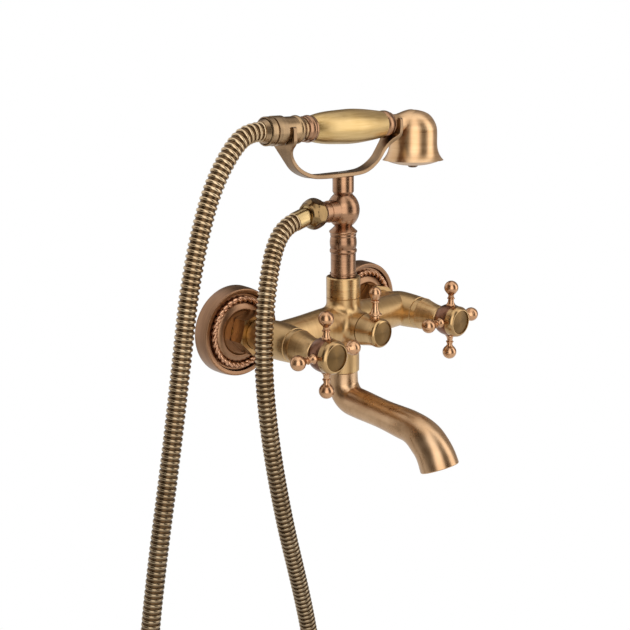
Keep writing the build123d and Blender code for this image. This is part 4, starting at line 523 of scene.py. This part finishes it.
class MIXER_OT_rope_rings(bpy.types.Operator):
    """Lays the twisted rope round each escutcheon's groove"""
    bl_idname = "mixer.rope_rings"
    bl_label = "Roped rings"

    def rope_tree(self, brass):
        """Lobed section swept round the ring with a steady twist."""
        sizes = [("Ring radius", "NodeSocketFloat"), ("Rope radius", "NodeSocketFloat"),
                 ("Strands", "NodeSocketInt"), ("Turns", "NodeSocketInt")]
        tree = generator_tree("Rope lay", sizes)
        inputs = tree.nodes.new("NodeGroupInput").outputs
        ring = add_node(tree, "GeometryNodeCurvePrimitiveCircle", Resolution=480,
                        Radius=inputs["Ring radius"]).outputs["Curve"]
        factor = add_node(tree, "GeometryNodeSplineParameter").outputs["Factor"]
        lay = calculated(tree, "MULTIPLY", factor, inputs["Turns"])
        twist = calculated(tree, "MULTIPLY", lay, 2 * math.pi)
        laid = add_node(tree, "GeometryNodeSetCurveTilt", Curve=ring, Tilt=twist).outputs["Curve"]
        section = add_node(tree, "GeometryNodeCurvePrimitiveCircle", Resolution=24,
                           Radius=inputs["Rope radius"]).outputs["Curve"]
        place = add_node(tree, "GeometryNodeInputPosition").outputs["Position"]
        parts = add_node(tree, "ShaderNodeSeparateXYZ", Vector=place)
        angle = calculated(tree, "ARCTAN2", parts.outputs["Y"], parts.outputs["X"])
        half_count = calculated(tree, "MULTIPLY", inputs["Strands"], 0.5)
        waves = calculated(tree, "MULTIPLY", angle, half_count)
        lobe = calculated(tree, "ABSOLUTE", calculated(tree, "COSINE", waves))
        swell = remapped(tree, lobe, 0.5, 1.0)
        lobed = add_node(tree, "ShaderNodeVectorMath", {"operation": "SCALE"}, in_0=place,
                         Scale=swell).outputs["Vector"]
        shaped = add_node(tree, "GeometryNodeSetPosition", Geometry=section,
                          Position=lobed).outputs["Geometry"]
        rope = add_node(tree, "GeometryNodeCurveToMesh", Curve=laid,
                        Profile_Curve=shaped).outputs["Mesh"]
        turned = add_node(tree, "GeometryNodeTransform", Geometry=rope,
                          Rotation=(math.pi / 2, 0, 0)).outputs["Geometry"]
        plain = add_node(tree, "GeometryNodeRealizeInstances", Geometry=turned).outputs["Geometry"]
        brassed = add_node(tree, "GeometryNodeSetMaterial", Geometry=plain,
                           Material=brass).outputs["Geometry"]
        smooth = add_node(tree, "GeometryNodeSetShadeSmooth", Geometry=brassed).outputs["Geometry"]
        add_node(tree, "NodeGroupOutput", Geometry=smooth)
        return tree

    def execute(self, context):
        sizes = context.scene.mixer_rope
        # Cast rope moulding, rubbed bright on the strands and left dark between them.
        brass = aged_brass("rubbed_rope_brass", "D4A888", "A87858", 0.26, (150, 150, 150))
        tree = self.rope_tree(brass)
        for side in ("left", "right"):
            node = f"{side}_rope_ring"
            low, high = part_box(node)
            middle = [(a + b) / 2 for a, b in zip(low, high)]
            source = linked("rope_source", bpy.data.meshes.new("rope_source"))
            run_generator(source, tree, {
                "Ring radius": sizes.ring_radius, "Rope radius": sizes.rope_radius,
                "Strands": sizes.strands, "Turns": sizes.turns,
            })
            rope = plain_mesh(source, f"{side}_rope_strands")
            rope.data.transform(Matrix.Translation(middle))
            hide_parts(node)
            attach(rope, "fixed_body")
        return {"FINISHED"}


class MIXER_OT_cast_body(bpy.types.Operator):
    """Finishes the cast body, the collar nut and the bell in brushed and aged brass"""
    bl_idname = "mixer.cast_body"
    bl_label = "Cast body, collar and bell"

    def execute(self, context):
        colours = context.scene.mixer_finish
        worn, aged = colours.body_worn, colours.body_aged
        # Cast brass, linished along the cross tube: soft streaks run round the tube.
        body = aged_brass("linished_cast_brass", worn, aged, 0.34, (420, 50, 50),
                          depth=0.000002)
        dress(body, "mixer_body")
        # Turned brass, brushed round an upright axis.
        upright = aged_brass("brushed_upright_brass", worn, aged, 0.27, (30, 30, 700))
        dress(upright, "collar_nut")
        # Pressed bell: paler and pinker, brushed round its upright axis.
        bell = aged_brass("brushed_bell_brass", "D8B68E", "BE9468", 0.3, (25, 25, 420))
        dress(bell, "shower_bell", "spray_plate")
        return {"FINISHED"}


class MIXER_OT_cradle_strap(bpy.types.Operator):
    """Bends the cradle's strap as one smooth band whose width flows into both forks"""
    bl_idname = "mixer.cradle_strap"
    bl_label = "Cradle strap"

    def execute(self, context):
        sizes = context.scene.mixer_strap
        low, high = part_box("cradle_yoke")
        seat = low[2] + sizes.thickness / 2
        left, right = low[0] + sizes.thickness / 2, high[0] - sizes.thickness / 2
        axis = low[2] + sizes.axis_rise
        out = (low[1] + high[1]) / 2
        arm, middle = sizes.arm_width / 2, sizes.seat_width / 2
        wide_left, wide_right = (high[1] - low[1]) / 2, sizes.right_fork_width / 2
        tip_left, tip_right = axis + 0.0028, high[2]
        # (x, height, half the width) from the left tips to the right ones
        run = [(left, tip_left, wide_left - 0.0018), (left, tip_left - 0.0008, wide_left),
               (left, axis - 0.0040, wide_left), (left, axis - 0.0090, wide_left),
               (left + 0.0003, axis - 0.0140, arm + 0.0030),
               (left + 0.0032, axis - 0.0205, arm), (left + 0.0100, axis - 0.0292, arm),
               (left + 0.0225, seat + 0.0010, arm), (left + 0.0350, seat, arm + 0.0008),
               (-0.0120, seat, middle), (0.0100, seat, middle),
               (0.0230, seat + 0.0016, arm + 0.0008), (0.0355, seat + 0.0085, arm),
               (0.0425, seat + 0.0175, arm), (right - 0.0058, seat + 0.0230, arm + 0.0018),
               (right - 0.0004, seat + 0.0268, wide_right - 0.0010),
               (right, axis - 0.0045, wide_right), (right, tip_right - 0.0010, wide_right),
               (right, tip_right, wide_right - 0.0018)]
        run = rounded(run, 4)
        bevel, corners = 0.0004, 6
        verts, faces = [], []
        for way in (-1, 1):
            first = len(verts)
            for number, (x, height, half) in enumerate(run):
                before, after = run[max(number - 1, 0)], run[min(number + 1, len(run) - 1)]
                along = Vector((after[0] - before[0], 0, after[1] - before[1])).normalized()
                over = Vector((-along.z, 0, along.x))
                notch = sizes.left_notch if x < 0 else sizes.right_notch
                if height >= axis:
                    inner = notch
                else:
                    inner = math.sqrt(max(notch ** 2 - (axis - height) ** 2, 0.0))
                centre = Vector((x, out, height))
                top, base = sizes.thickness / 2 - 0.0001, -sizes.thickness / 2
                for side, lift in ((inner, base), (half - bevel, base), (half, base + bevel),
                                   (half, top - bevel), (half - bevel, top), (inner, top)):
                    verts.append(centre + Vector((0, way * side, 0)) + over * lift)
            rows = ring_rows(len(run), corners, first)
            faces += [*ring_faces(rows, closed=False), tuple(rows[0]), tuple(rows[-1])]
        strap = new_piece("cradle_strap", verts, faces, 28)
        # Flat strap, bent and brushed along its length.
        strap.data.materials.append(
            aged_brass("brushed_strap_brass", "9C7E5E", "765E46", 0.3, (60, 300, 60)))
        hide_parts("cradle_yoke")
        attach(strap, "riser")
        return {"FINISHED"}


class MIXER_OT_spout(bpy.types.Operator):
    """Draws the tub spout as one smooth tube that widens towards its mouth"""
    bl_idname = "mixer.spout"
    bl_label = "Tub spout"

    def execute(self, context):
        sizes = context.scene.mixer_spout
        slope, tilt = math.radians(4.0), math.radians(25.0)  # of the run and of the mouth
        spacing, wall, lip_edge = 0.0012, 0.0024, 0.0005
        tail_radius, tail_bore = 0.00995, 0.007
        elbow_turn, hook_turn = math.pi / 2 - slope, math.pi / 2 - slope - tilt
        parts = [(sizes.drop, 0.0), (sizes.elbow_radius * elbow_turn, 1 / sizes.elbow_radius),
                 (sizes.run, 0.0), (sizes.hook_radius * hook_turn, -1 / sizes.hook_radius),
                 (sizes.lip, 0.0)]
        total = sum(length for length, bend in parts)
        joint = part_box("spout")[1][2]
        place = Vector((0, -RISER_OUT, sizes.rim_height))
        heading, walked = math.pi / 2, 0.0  # heading is the angle below the horizontal
        line = [(place.copy(), heading, 0.0)]
        for length, bend in parts:
            count = max(6, round(length / spacing))
            for _ in range(count):
                step = length / count
                heading -= bend * step / 2
                place += Vector((0, -math.cos(heading), -math.sin(heading))) * step
                heading -= bend * step / 2
                walked += step
                line.append((place.copy(), heading, walked))
        girth = [(0.0, 0.0117), (0.018, 0.0124), (0.034, 0.0121), (0.062, 0.0114),
                 (0.090, 0.0124), (0.112, 0.0142), (total, 0.0150)]
        outer, inner = [], []
        for centre, angle, at in line:
            along = Vector((0, -math.cos(angle), -math.sin(angle)))
            radius = eased(girth, at)
            outer.append((centre, along, radius))
            inner.append((centre, along, radius - wall))
        tail = Vector((0, -RISER_OUT, joint))
        foot = line[0][0]
        down = Vector((0, 0, -1))
        mouth_centre, mouth_along, mouth_radius = outer[-1]
        outer[-1] = (mouth_centre, mouth_along, mouth_radius - lip_edge)
        outer.insert(-1, (mouth_centre - mouth_along * 0.0006, mouth_along, mouth_radius))
        stations = [(tail, down, tail_radius), (foot, down, tail_radius), *outer,
                    *reversed(inner), (tail, down, tail_bore)]
        spout = swept_piece("spout_smooth", stations)
        # Bent and polished tube, brushed by hand with no clear direction.
        spout.data.materials.append(
            aged_brass("hand_brushed_brass", "CEAC88", "AA845E", 0.28, (90, 90, 90), 0.000001))
        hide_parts("spout")
        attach(spout, "spout_body")
        return {"FINISHED"}


class MIXER_OT_wall_fittings(bpy.types.Operator):
    """Spins the escutcheons, and finishes the unions, nuts, cartridges and spindles"""
    bl_idname = "mixer.wall_fittings"
    bl_label = "Wall fittings"

    def execute(self, context):
        rim, hole, floor = 0.0356, 0.0104, 0.0088  # radius, radius, height over the wall
        # Spun cover plates, coppery, with fine turning rings about the pipe's axis.
        spun = aged_brass("spun_copper_brass", "A07A5A", "7A5A44", 0.32, (40, 500, 40))
        for side in ("left", "right"):
            low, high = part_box(f"{side}_escutcheon")
            middle = ((low[0] + high[0]) / 2, 0, (low[2] + high[2]) / 2)
            dome = rounded([(0.0243, 0.0099), (0.0242, 0.0114), (0.0226, 0.0127),
                            (0.0200, 0.0136), (0.0180, 0.0138), (0.0173, 0.0125),
                            (hole, 0.0124)], 3)
            profile = [(0.0341, 0.0), (rim, 0.0), *rounded(
                [(rim, 0.0008), (0.0355, 0.0070), (0.0348, 0.0122), (0.0345, 0.0134),
                 (0.0330, 0.0133), (0.0312, 0.0128)], 3), (0.0302, 0.0103), *dome,
                (hole, floor), (0.0332, floor)]
            plate = turned_piece(f"{side}_escutcheon_spun", profile, middle, (0, -1, 0))
            plate.data.materials.append(spun)
            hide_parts(f"{side}_escutcheon")
            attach(plate, "fixed_body")
        # Hexagon nuts: machined flats, gone dark in the corners.
        nuts = aged_brass("machined_nut_brass", "B08E60", "7E6440", 0.28, (60, 300, 60))
        dress(nuts, "union_nuts")
        # Bare machined brass of the unions and tails.
        bare = aged_brass("bare_machined_brass", "C8A25E", "9C7838", 0.25, (60, 700, 60))
        dress(bare, "left_wall_union", "right_wall_union", "inlet_tails", "left_valve_cartridge",
              "right_valve_cartridge", "diverter_cartridge", "left_spindle", "right_spindle",
              "diverter_spindle")
        return {"FINISHED"}


class MIXER_OT_handles(bpy.types.Operator):
    """Finishes both cross handles, their sleeves and the diverter"""
    bl_idname = "mixer.handles"
    bl_label = "Handles and diverter"

    def execute(self, context):
        # Bonnet sleeves: olive gold, turned about the valve's axis.
        sleeves = aged_brass("turned_olive_brass", "D2B080", "B09064", 0.32, (40, 600, 40))
        dress(sleeves, "left_bonnet_sleeve", "right_bonnet_sleeve")
        # Hubs: a darker, redder bronze that hands have not rubbed bright.
        hubs = aged_brass("dark_hub_bronze", "8A614B", "684534", 0.3, (40, 600, 40))
        dress(hubs, "left_handle_hub", "right_handle_hub")
        dress(sleeves, "diverter_knob")
        # Spokes and finial: coppery, polished by hands, so smoother than the rest.
        spokes = aged_brass("rubbed_copper_brass", "CAA07A", "AA7E5C", 0.24, (150, 150, 150))
        dress(spokes, "diverter_finial")
        pear = [(0, 0.0096), (0.0034, 0.0096), (0.0038, 0.0128), *rounded(
            [(0.0038, 0.0131), (0.0029, 0.0141), (0.0024, 0.0156), (0.0022, 0.0176)], 2),
            (0.0029, 0.0178), (0.0031, 0.0182), (0.0029, 0.0186), (0.0023, 0.0188),
            (0.0025, 0.0192), (0.0025, 0.0195), *rounded(
            [(0.0022, 0.0197), (0.0023, 0.0213), (0.0042, 0.0231), (0.0049, 0.0243)], 3)]
        radius, centre = 0.0057, 0.027
        ball = [math.radians(turn) for turn in range(-24, 90, 12)]
        pear += [(radius * math.cos(turn), centre + radius * math.sin(turn)) for turn in ball]
        pear.append((0, centre + radius))
        for side in ("left", "right"):
            low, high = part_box(f"{side}_handle_spokes")
            middle = [(a + b) / 2 for a, b in zip(low, high)]
            cross = turned_piece(f"{side}_pear_spokes", pear, middle, (1, 0, 0), (-1, 0, 0),
                                 (0, 0, 1), (0, 0, -1), steps=36)
            cross.data.materials.append(spokes)
            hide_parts(f"{side}_handle_spokes")
            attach(cross, f"{side}_handle")
        # Cap rings: bright gold rims.
        rims = aged_brass("polished_gold_rim", "BE9C6C", "947650", 0.22, (60, 500, 60))
        dress(rims, "left_index_ring", "right_index_ring", "diverter_ring")
        # Index discs: dark olive bronze, faced with fine rings.
        for node in ("left_index_disc", "right_index_disc", "diverter_disc"):
            dress(turned_disc(f"faced_{node}", node, "7C6038", "503C24"), node)
        return {"FINISHED"}


class MIXER_OT_riser(bpy.types.Operator):
    """Finishes the riser column, its ball and the hose's lower end"""
    bl_idname = "mixer.riser"
    bl_label = "Riser column"

    def execute(self, context):
        colours = context.scene.mixer_finish
        # Turned column: coppery, brushed round its upright axis.
        column = aged_brass("turned_copper_brass", colours.copper_worn, colours.copper_aged, 0.25,
                            (30, 30, 500))
        dress(column, "riser_column", "cradle_post")
        # Ferrules: olive brass tube with long soft highlights.
        ferrule = aged_brass("drawn_olive_brass", "BEA474", "8E7850", 0.22, (40, 400, 400))
        dress(ferrule, "lower_hose_ferrule")
        return {"FINISHED"}


class MIXER_OT_hand_shower(bpy.types.Operator):
    """Finishes the hand shower's grip, rings and tail"""
    bl_idname = "mixer.hand_shower"
    bl_label = "Hand shower"

    def execute(self, context):
        colours = context.scene.mixer_finish
        # Grip: olive gold, satin, brushed lengthwise.
        grip = aged_brass("satin_grip_brass", "D4B884", "B2925A", 0.34, (22, 700, 700), coat=0.12)
        dress(grip, "handset_grip")
        # Tail and water tube: olive brass, turned about the handle's axis.
        tail = aged_brass("turned_tail_brass", "AC8E6A", "7E664A", 0.25, (500, 40, 40))
        dress(tail, "handset_tail", "handset_water_tube")
        # Rings: coppery.
        rings = aged_brass("turned_ring_brass", colours.copper_worn, colours.copper_aged, 0.25,
                           (500, 40, 40))
        dress(rings, "handset_end_ring", "handset_front_collar")
        return {"FINISHED"}


class MIXER_OT_small_parts(bpy.types.Operator):
    """Finishes screws, seals and the plastic inside pieces"""
    bl_idname = "mixer.small_parts"
    bl_label = "Screws and seals"

    def execute(self, context):
        # Stainless screws: grey metal, finely turned.
        steel = aged_brass("stainless_screw", "B4B4B0", "8E8E8A", 0.25, (400, 400, 400), coat=0.0)
        dress(steel, "left_handle_screw", "right_handle_screw", "diverter_screw", "cradle_screw",
              "spout_grub_screw")
        # The spray plate's screw: brass, gone dark brown.
        dark = aged_brass("dark_brass_screw", "6E5238", "4A3626", 0.3, (300, 300, 300))
        dress(dark, "spray_plate_screw")
        # Moulded seals: dull black rubber with a fine grain.
        rubber, tree = new_material("moulded_rubber")
        place = add_node(tree, "ShaderNodeTexCoord").outputs["Object"]
        grain = add_node(tree, "ShaderNodeTexNoise", Vector=place, Scale=1500.0).outputs["Fac"]
        bump = add_node(tree, "ShaderNodeBump", Strength=0.2, Distance=0.00003,
                        Height=grain).outputs["Normal"]
        shader = add_node(tree, "ShaderNodeBsdfPrincipled", Base_Color=hex_colour("1C1B1A"),
                          Roughness=0.65, Normal=bump)
        add_node(tree, "ShaderNodeOutputMaterial", Surface=shader.outputs["BSDF"])
        dress(rubber, "riser_o_rings", "spout_o_rings", "union_gaskets", "lower_hose_washer",
              "upper_hose_washer")
        # Acetal: white, waxy plastic.
        acetal, tree = new_material("moulded_acetal")
        place = add_node(tree, "ShaderNodeTexCoord").outputs["Object"]
        grain = add_node(tree, "ShaderNodeTexNoise", Vector=place, Scale=900.0).outputs["Fac"]
        rough = remapped(tree, grain, 0.35, 0.5)
        shader = add_node(tree, "ShaderNodeBsdfPrincipled", Base_Color=hex_colour("D8D4C8"),
                          Roughness=rough)
        add_node(tree, "ShaderNodeOutputMaterial", Surface=shader.outputs["BSDF"])
        dress(acetal, "retaining_ring", "flow_straightener")
        return {"FINISHED"}


# ---------------------------------------------------------------- stage
class MIXER_OT_stage(bpy.types.Operator):
    """Sets the camera, the light tent, the lamps and the pale floor"""
    bl_idname = "mixer.stage"
    bl_label = "Stage"

    def tent_material(self):
        """Glow of the tent: soft upright strips of light on a dim ground, by direction."""
        material, tree = new_material("light_tent_fabric")
        place = add_node(tree, "ShaderNodeTexCoord").outputs["Object"]
        shifted = calculated(tree, "ADD", place, (0, RISER_OUT, 0), kind="ShaderNodeVectorMath")
        away = calculated(tree, "NORMALIZE", shifted, kind="ShaderNodeVectorMath")
        parts = add_node(tree, "ShaderNodeSeparateXYZ", Vector=away)
        height = parts.outputs["Z"]
        angle = calculated(tree, "ARCTAN2", parts.outputs["Y"], parts.outputs["X"])
        glow = None
        # direction of each strip in degrees from +X, half its width, its strength
        strips = ((-128.4, 31, 2.3), (-47.0, 23, 2.2), (110.0, 56, 0.95), (5.0, 40, 0.28))
        for centre, half, strength in strips:
            apart = calculated(tree, "SUBTRACT", angle, math.radians(centre))
            near = calculated(tree, "COSINE", apart)
            strip = remapped(tree, near, 0.0, strength, math.cos(math.radians(half)),
                             math.cos(math.radians(0.3 * half)), "SMOOTHSTEP")
            glow = strip if glow is None else calculated(tree, "ADD", glow, strip)
        # sine of the height above the middle: the strips end there, ceiling and floor begin
        for low, high, start, end in ((-0.6, -0.15, 0.3, 1.0), (0.55, 0.9, 1.0, 0.35)):
            fall = remapped(tree, height, start, end, low, high, "SMOOTHSTEP")
            glow = calculated(tree, "MULTIPLY", glow, fall)
        for low, high, start, end in ((0.66, 0.95, 0.11, 1.2), (-0.3, -0.9, 0.0, 0.25)):
            part = remapped(tree, height, start, end, low, high, "SMOOTHSTEP")
            glow = calculated(tree, "ADD", glow, part)
        bright = remapped(tree, glow, 0.0, 1.0, 0.1, 1.0)
        tint = add_node(tree, "ShaderNodeMix", {"data_type": "RGBA"}, in_0=bright,
                        in_6=(1.0, 0.84, 0.68, 1.0), in_7=(1.0, 0.98, 0.95, 1.0)).outputs[2]
        shader = add_node(tree, "ShaderNodeEmission", Color=tint, Strength=glow)
        add_node(tree, "ShaderNodeOutputMaterial", Surface=shader.outputs["Emission"])
        material.cycles.emission_sampling = "NONE"  # the tent is no lamp, it is only mirrored
        return material

    def execute(self, context):
        scene = context.scene
        sizes = scene.mixer_stage

        # camera
        turn, rise, roll = math.radians(-42.5), math.radians(14.7), math.radians(-0.54)
        right = Vector((math.cos(turn), math.sin(turn), 0))
        back = Vector((math.sin(turn) * math.cos(rise), -math.cos(turn) * math.cos(rise),
                       math.sin(rise)))
        up = back.cross(right)
        side = math.cos(roll) * right + math.sin(roll) * up
        top = -math.sin(roll) * right + math.cos(roll) * up
        lens = bpy.data.cameras.new("camera")
        lens.lens = sizes.lens
        lens.sensor_width = 36.0
        lens.clip_end = 50.0
        camera = linked("camera", lens)
        camera.matrix_world = (Matrix.Translation((-0.49866, -0.55994, 0.1943))
                               @ Matrix((side, top, back)).transposed().to_4x4())
        scene.camera = camera

        # light tent round the object, seen only in reflections
        tent_mesh = bpy.data.meshes.new("light_tent")
        count, rings, steepest, stretch = 48, 14, 80, 1.3
        radius = sizes.tent_radius
        verts, faces = [], []
        for ring in range(rings + 1):
            lift = math.radians(-steepest + 2 * steepest * ring / rings)
            for step in range(count):
                at = 2 * math.pi * step / count
                verts.append((radius * math.cos(lift) * math.cos(at),
                              radius * math.cos(lift) * math.sin(at) - RISER_OUT,
                              stretch * radius * math.sin(lift)))
        for ring in range(rings):
            for step in range(count):
                a = ring * count + step
                b = ring * count + (step + 1) % count
                faces.append((a, a + count, b + count, b))
        faces.append(tuple(range(count)))
        faces.append(tuple(reversed(range(rings * count, (rings + 1) * count))))
        tent_mesh.from_pydata(verts, [], faces)
        tent_mesh.materials.append(self.tent_material())
        tent = linked("light_tent", tent_mesh)
        tent.visible_camera = False
        tent.visible_shadow = False
        tent.visible_diffuse = False

        # pale floor, white to the eye
        low, half = CAD_BOX[0][2] - 0.05, 6
        corners = [(x, y, low) for x, y in ((-half, -half), (half, -half), (half, half),
                                            (-half, half))]
        floor_mesh = bpy.data.meshes.new("floor")
        floor_mesh.from_pydata(corners, [], [(0, 1, 2, 3)])
        floor_material, tree = new_material("white_floor_paint")
        path = add_node(tree, "ShaderNodeLightPath")
        paint = add_node(tree, "ShaderNodeBsdfDiffuse", Color=hex_colour("F4F2EE"))
        glow = add_node(tree, "ShaderNodeEmission", Color=(1, 1, 1, 1), Strength=1.0)
        mixed = add_node(tree, "ShaderNodeMixShader", in_0=path.outputs["Is Camera Ray"],
                         in_1=paint.outputs["BSDF"], in_2=glow.outputs["Emission"])
        add_node(tree, "ShaderNodeOutputMaterial", Surface=mixed.outputs["Shader"])
        floor_mesh.materials.append(floor_material)
        floor = linked("floor", floor_mesh)

        # world: white where it is seen or mirrored, a soft grey as a lamp
        world = bpy.data.worlds.new("studio")
        world.use_nodes = True
        tree = world.node_tree
        tree.nodes.clear()
        path = add_node(tree, "ShaderNodeLightPath")
        seen = calculated(tree, "MAXIMUM", path.outputs["Is Camera Ray"],
                          path.outputs["Is Glossy Ray"])
        seen = calculated(tree, "MAXIMUM", seen, path.outputs["Is Transmission Ray"])
        level = remapped(tree, seen, 0.6, 1.0)
        sky = add_node(tree, "ShaderNodeBackground", Color=(1, 1, 1, 1), Strength=level)
        add_node(tree, "ShaderNodeOutputWorld", Surface=sky.outputs["Background"])
        scene.world = world

        # lamps for what isn't metal; the tent makes the metal's highlights
        for name, place, power, size in (
            ("key_lamp", (-0.5, -1.6, 1.3), 22, 1.0),
            ("side_lamp", (1.5, -1.0, 0.8), 14, 0.9),
        ):
            lamp = bpy.data.lights.new(name, "AREA")
            lamp.energy = power
            lamp.size = size
            holder = linked(name, lamp)
            holder.location = place
            holder.rotation_euler = Vector(place).to_track_quat("Z", "Y").to_euler()
            holder.visible_glossy = False

        scene.view_settings.view_transform = "Standard"
        return {"FINISHED"}


OPERATORS = (
    MIXER_OT_stage,
    MIXER_OT_shower_hose,
    MIXER_OT_rope_rings,
    MIXER_OT_cast_body,
    MIXER_OT_cradle_strap,
    MIXER_OT_spout,
    MIXER_OT_wall_fittings,
    MIXER_OT_handles,
    MIXER_OT_riser,
    MIXER_OT_hand_shower,
    MIXER_OT_small_parts,
)
SETTINGS = {
    "mixer_finish": MixerFinishSettings,
    "mixer_hose": MixerHoseSettings,
    "mixer_rope": MixerRopeSettings,
    "mixer_spout": MixerSpoutSettings,
    "mixer_strap": MixerStrapSettings,
    "mixer_stage": MixerStageSettings,
}


class MIXER_PT_panel(bpy.types.Panel):
    bl_idname = "MIXER_PT_panel"
    bl_label = "Bath mixer"
    bl_space_type = "VIEW_3D"
    bl_region_type = "UI"
    bl_category = "Bath mixer"

    def draw(self, context):
        column = self.layout.column()
        for operator in OPERATORS:
            column.operator(operator.bl_idname)
        for name, group in SETTINGS.items():
            settings = getattr(context.scene, name)
            for key in group.__annotations__:
                column.prop(settings, key)


def register():
    for kind in (*SETTINGS.values(), *OPERATORS, MIXER_PT_panel):
        bpy.utils.register_class(kind)
    for name, group in SETTINGS.items():
        setattr(bpy.types.Scene, name, bpy.props.PointerProperty(type=group))


def unregister():
    for name in SETTINGS:
        delattr(bpy.types.Scene, name)
    for kind in (MIXER_PT_panel, *reversed(OPERATORS), *SETTINGS.values()):
        bpy.utils.unregister_class(kind)


def main():
    register()
    for operator in OPERATORS:
        group, call = operator.bl_idname.split(".")
        getattr(getattr(bpy.ops, group), call)()


if __name__ == "__main__":
    main()
